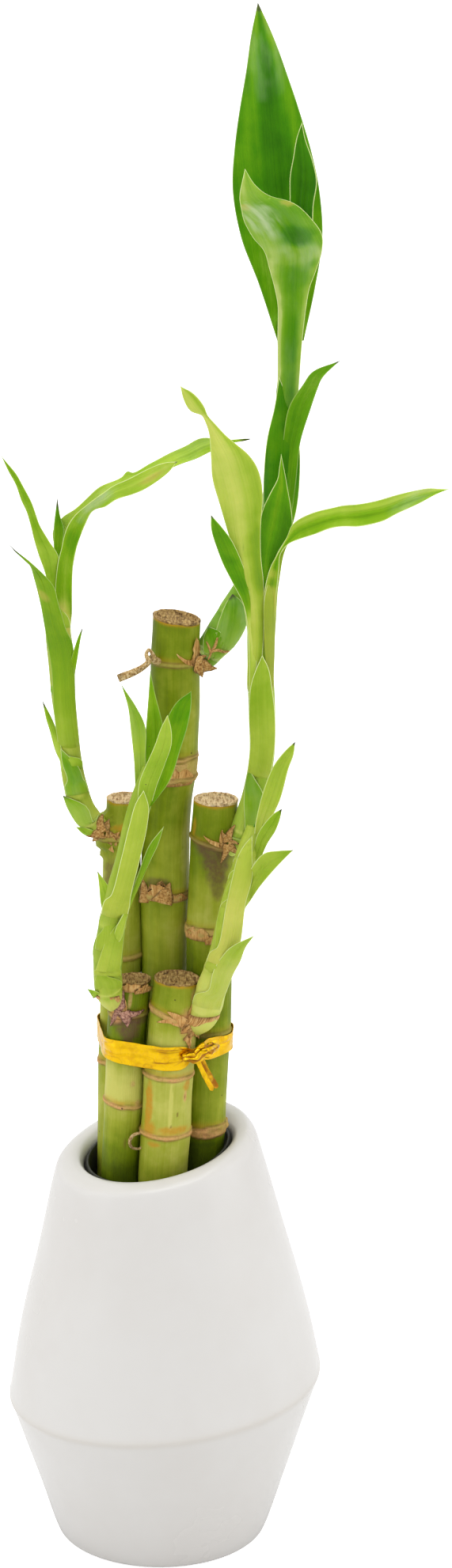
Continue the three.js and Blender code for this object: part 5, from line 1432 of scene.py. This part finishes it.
def make_leaf(shoot, leaf, stem, layer, finish, slot, seed):
    """A blade between its two margins, whose base hugs the stem as a sheath."""
    left, right, clasp = leaf_margins(leaf, stem)
    length = line_length((left + right) / 2)[-1]
    where = np.linspace(0, len(left) - 1.02, max(14, round(length / LEAF_STEP)))
    left, right = smooth_line(left, where), smooth_line(right, where)
    middle, across = (left + right) / 2, right - left
    width = np.linalg.norm(across, axis=1)[:, None]
    along = line_length(middle)[:, None]
    share = along / along[-1]
    slim = width / width.max()
    side = LEAF_COLUMNS[None, :]
    mm_across = side * width / 2
    spot = points_of(mm_across, along, 0)

    normal = unit(np.cross(across, np.gradient(middle, axis=0)))
    rise = leaf["cup"] * slim * (1 - side ** 2) - 0.25 * np.sign(leaf["cup"]) * slim * bell(side, 0.09)
    ripple = np.sin(2 * math.pi * along / 13 + 2.4 * seed + 1.9 * np.sign(side))
    rise = rise + leaf["wave"] * ripple * np.abs(side) ** 3 * smooth_step(0.1, 0.3, share)
    rise = rise + 0.05 * np.cos(mm_across * 3.1) * slim + 0.25 * soft_noise(spot, (7, 16, 1), seed) * slim
    grid = middle[:, None] + across[:, None] * side[..., None] / 2 + normal[:, None] * rise[..., None]
    if clasp:
        weight = 1 - smooth_step(0.35 * clasp, clasp, share) if clasp < 1 else np.ones(share.shape)
        gap = leaf["gap"] + 0.07 * layer + SHEATH_SINK
        gap = gap * smooth_step(0, 0.06, share) - SHEATH_SINK
        grid = hug_stem(grid, weight[:, 0], gap[:, 0], stem, leaf["side"])
    fuller = LEAF_MIDDLE_THICKNESS - LEAF_MARGIN_THICKNESS
    thickness = LEAF_MARGIN_THICKNESS + fuller * (1 - np.abs(side) ** 1.5)

    tone = np.interp(share, (0, 0.45, 1), leaf["tones"])
    # Lengthwise bands of painted light and shade, from the blade's curve.
    for at_side, amount in leaf["shading_bands"]:
        tone = tone + amount * bell(side - at_side, 0.3)
    rim = (1 - np.abs(side)) * width / 2
    # Along a fold the pale margin line is painted across the blade as a highlight on its bend.
    if leaf["fold"]:
        place, bend = leaf["fold"]
        rim = np.minimum(rim, 0.05 + np.abs(share - place - bend * side ** 2) * along[-1])
    left_over = along[-1] - along + 0.6 * soft_noise(spot, 0.8, seed)
    brown = leaf["dark_tip"]
    tip = 1 - smooth_step(0.6 * brown, brown + 0.01, left_over) if brown else 0
    facts = {"tone": tone, "edge": leaf["edge"], "tip": tip, "bloom_and_sheen": leaf["bloom_and_sheen"]}
    facts["warm"] = leaf["warm"] * (1 - 0.6 * share)
    for fact, at_side, at_share, half_side, half_share, strength in leaf["patches"]:
        far = np.hypot((side - at_side) / half_side, (share - at_share) / half_share)
        far = far + 0.25 * soft_noise(spot, 3, seed)
        facts[fact] = facts[fact] + strength * (1 - smooth_step(0.5, 1.15, far))
    facts.update(rim=rim, grain=spot + (0, 0, 17 * seed), under=0)

    pile = Pile()
    pile.add_sheet(grid, thickness * smooth_step(-0.4, 1, slim), facts, {"under": 1})
    pile.make(f"{shoot}_{leaf['name']}", finish, slot, shoot)


def make_shoot(shoot, finish, slot, seed):
    """A stem and its leaves, which lie over each other from the top one down."""
    length = line_length(whole_line(STEMS[shoot], 200))[-1]
    stem = whole_line(STEMS[shoot], round(length / STEM_STEP))
    make_stem(shoot, stem, finish, slot, seed)
    if shoot in FRINGES:
        make_fringes(shoot, stem, slot, seed)
    upper_first = sorted(LEAVES[shoot], key=lambda leaf: -leaf["left"][0][2])
    for layer, leaf in enumerate(upper_first):
        make_leaf(shoot, {**PLAIN_LEAF, **leaf}, stem, layer, finish, slot, seed + layer)


# The foil tie

# The twist in front: x, y, z and radius
TIE_TWIST = [(7.5, -19.8, 169.2, 1), (9.8, -19.4, 169.2, 1.6), (11.5, -19.2, 169.2, 1.9),
             (13, -18.2, 170, 2), (15, -16.4, 170.4, 2.2), (17, -14.4, 170.4, 1.6),
             (18.5, -12.6, 170.4, 0.8)]
# Its tails: both margins and the tip, and how much painted shade and reflection lies over each
TIE_TAILS = [
    dict(left=[(10.8, -19.4, 169.5), (12.3, -19.6, 166), (14, -19.2, 162), (15.6, -18.6, 158.6)],
         right=[(12.4, -19.6, 169.6), (14, -19.8, 165.8), (15.8, -19.2, 161.8), (17.2, -18.6, 158.4)],
         tip=(16.4, -18.6, 157.4), fold=0),
    dict(left=[(12.2, -19, 169.6), (13.8, -19.2, 165.8), (15.6, -18.6, 161.8), (17, -18, 158.6)],
         right=[(13.6, -18, 169.6), (15.2, -18.2, 166), (17, -17.6, 162), (18.6, -17, 158.8)],
         tip=(18.4, -17.4, 157.8), fold=0.6),
]
# Fine creases painted dark on the band's front, as shade and reflection: x and height of the middle, half
# length, slope and strength
CREASE_SHADE_LINES = [(3.5, 171.3, 5, 0.02, 0.9), (1, 170.6, 2.6, -0.05, 0.7), (6, 170.7, 3, 0.04, 0.6),
           (0.5, 166.9, 2, 0.05, 1), (4, 167.3, 4, 0.1, 0.5), (8.2, 168, 2.4, 0.5, 0.8),
           (8.4, 171, 2, -0.5, 0.8)]


def band_path():
    """Points evenly spaced round the bundle of canes, how they face outwards and how far round they are."""
    places = [cane_place(cane["path"], TIE_Z) for cane in CANES.values()]
    path = []
    for angle in turns(2000):
        out = np.array([math.cos(angle), math.sin(angle)])
        x, y, radius = max(places, key=lambda place: place[0] * out[0] + place[1] * out[1] + place[2])
        path.append((x + (radius + TIE_PLAY) * out[0], y + (radius + TIE_PLAY) * out[1]))
    path = np.array(path + path[:1])
    along = line_length(path)
    spots = np.linspace(0, along[-1], TIE_STEPS, endpoint=False)
    path = np.stack([np.interp(spots, along, path[:, axis]) for axis in range(2)], -1)
    ahead = unit(np.roll(path, -2, axis=0) - np.roll(path, 2, axis=0))
    return path, np.stack([ahead[:, 1], -ahead[:, 0]], -1), spots


def make_band():
    """The strip round the canes, crumpled all over and gathered where it is twisted."""
    path, out, along = band_path()
    x = path[:, 0]
    front = path[:, 1] < 0
    waver = points_of(along / 5, 0, 0)
    high = 172.5 + 0.35 * soft_noise(waver, 1, 1) - 1.4 * smooth_step(12, 24, x) * front
    low = np.interp(x, (-20, -12, 0, 12, 24), (166.2, 165, 164.5, 164.7, 165.4))
    low = low + 0.3 * soft_noise(waver, 1, 2)
    pinch = bell(x - PINCH_X, 2.6) * front
    high, low = high - 2 * pinch, low + 2.6 * pinch
    height = low[:, None] + (high - low)[:, None] * np.linspace(0, 1, TIE_COLUMNS)
    spot = points_of(along[:, None], height, 0)
    folds = np.abs(soft_noise(spot, (5, 2.2, 1), 4))
    small = np.abs(soft_noise(spot, (1.7, 1.1, 1), 5))
    off = 0.5 * folds + 0.12 * small
    outer = np.concatenate([path[:, None] + out[:, None] * off[..., None], height[..., None]], -1)
    inner = outer.copy()
    inner[..., :2] -= out[:, None] * FOIL_THICKNESS
    # Painted shade and reflection: dark in the deepest folds, over the pinch and along the listed creases.
    crease_shade = smooth_step(0.06, 0, folds) * 0.3 + 0.5 * pinch[:, None] * smooth_step(0.1, 0.4, small)
    for middle, z, half, slope, strength in CREASE_SHADE_LINES:
        line = bell(height - z - slope * (x[:, None] - middle), 0.2) * bell(x[:, None] - middle, half)
        crease_shade = crease_shade + strength * line * front[:, None]
    band = Pile()
    band.add_faces(outer, inner, {"grain": spot, "fold": crease_shade}, ringed=True)
    band.make("foil_band", FOIL, "foil", "foil_tie")


def make_knot():
    """The twist, with deep lengthwise pleats."""
    line = whole_line(TIE_TWIST, KNOT_STEPS)
    along = line_length(line)[:, None]
    angles = turns(KNOT_SIDES)
    spot = points_of(3 * np.cos(angles), 3 * np.sin(angles), along)
    pleats = np.cos(5 * angles + 0.5 * along)
    shape = 0.9 + 0.16 * pleats + 0.3 * soft_noise(spot, 1.2, 2)
    # Painted shade and reflection in the troughs of the pleats.
    fold = smooth_step(0.1, -0.7, pleats + soft_noise(spot, 0.9, 3))
    rows = tube_rows(line, KNOT_SIDES, shape)
    make_piece("foil_knot", FOIL, "foil", "foil_tie", rows, {"grain": spot, "fold": 0.1 + 0.85 * fold})


def make_tails():
    """The strip's two cut ends."""
    tails = Pile()
    side = np.linspace(-0.5, 0.5, TAIL_COLUMNS)[None, :, None]
    for seed, tail in enumerate(TIE_TAILS):
        left, right = (np.array(tail[name] + [tail["tip"]], float) for name in ("left", "right"))
        where = np.linspace(0, len(left) - 1.4, TAIL_STEPS)
        left, right = smooth_line(left, where), smooth_line(right, where)
        grid = (left + right)[:, None] / 2 + (right - left)[:, None] * side
        crumple = soft_noise(grid, 1.4, seed + 7)
        grid[..., 1] += 0.35 * crumple
        # Painted shade and reflection: over the whole tail as its table says, and more where it is crumpled.
        fold = tail["fold"] + 0.4 * smooth_step(0.2, 0.8, np.abs(crumple))
        tails.add_sheet(grid, FOIL_THICKNESS, {"grain": grid[..., (0, 2, 1)], "fold": fold})
    tails.make("foil_tails", FOIL, "foil", "foil_tie")


# Building it all

make_pot()
make_liner()
make_soil()
make_crumbs()
for number, (name, cane) in enumerate(CANES.items()):
    make_bark(name, cane, 3 * number)
    make_cut_face(name, cane, 5 * number + 1)
    make_remains(name, cane, 10 * number)
make_roots()
make_shoot("shoot_tall", DEEP_LEAF, "dark_leaf", 1)
fresh_shoots = ("shoot_back_right", "shoot_back_left", "shoot_front_left", "shoot_front_middle")
for number, shoot in enumerate(fresh_shoots):
    make_shoot(shoot, FRESH_LEAF, "light_leaf", 20 + 10 * number)
make_band()
make_knot()
make_tails()


# Floor, light and camera

def make_floor():
    """A pale floor that glows only towards the camera."""
    mesh = bpy.data.meshes.new("floor")
    mesh.from_pydata([(-6, -4, 0), (6, -4, 0), (6, 8, 0), (-6, 8, 0)], [], [(0, 1, 2, 3)])
    pale = Finish("pale_floor", Roughness=0.9, Specular_IOR_Level=0.1, Base_Color=(0.86, 0.86, 0.86, 1),
                  Emission_Color=(1, 1, 1, 1))
    seen = pale.add("ShaderNodeLightPath").outputs["Is Camera Ray"]
    pale.plug(pale.times(seen, FLOOR_GLOW), pale.shader.inputs["Emission Strength"])
    mesh.materials.append(pale.material)
    floor = bpy.data.objects.new("floor", mesh)
    bpy.context.scene.collection.objects.link(floor)


def add_softbox(name, place, aim, size, watts):
    light = bpy.data.lights.new(name, "AREA")
    light.energy = watts
    light.size = size
    lamp = bpy.data.objects.new(name, light)
    lamp.location = place
    towards = [target - spot for target, spot in zip(aim, place)]
    lamp.rotation_euler = mathutils.Vector(towards).to_track_quat("-Z", "Y").to_euler()
    bpy.context.scene.collection.objects.link(lamp)


def light_room():
    """Even light from all round, a little less from the front, and three softboxes."""
    world = bpy.data.worlds.new("studio")
    world.use_nodes = True
    bpy.context.scene.world = world
    studio = Nodes(world.node_tree)
    direction = studio.add("ShaderNodeTexCoord").outputs["Generated"]
    split = studio.add("ShaderNodeSeparateXYZ", {0: direction})
    frontal = studio.mask(studio.times(split.outputs[1], -1.0), 0.2, 0.95)
    colour = studio.mix(frontal, (0.93, 0.93, 0.93, 1), (0.8, 0.8, 0.8, 1))
    studio.plug(colour, studio.tree.nodes["Background"].inputs["Color"])
    add_softbox("left_softbox", (-1.2, -0.3, 0.7), (0, 0, 0.3), 1.2, 2.6)
    add_softbox("right_softbox", (1.2, -0.3, 0.7), (0, 0, 0.3), 1.2, 2.6)
    add_softbox("top_softbox", (0, -0.2, 1.5), (0, 0, 0.2), 1.0, 6)


def place_camera():
    camera = bpy.data.objects.new("camera", bpy.data.cameras.new("camera"))
    camera.data.lens = CAMERA_LENS
    camera.data.sensor_width = SENSOR_SIDE
    camera.location = CAMERA_PLACE
    camera.rotation_euler = (math.radians(CAMERA_TILT), 0, 0)
    bpy.context.scene.collection.objects.link(camera)
    bpy.context.scene.camera = camera


make_floor()
light_room()
place_camera()
bpy.context.scene.view_settings.view_transform = "Standard"
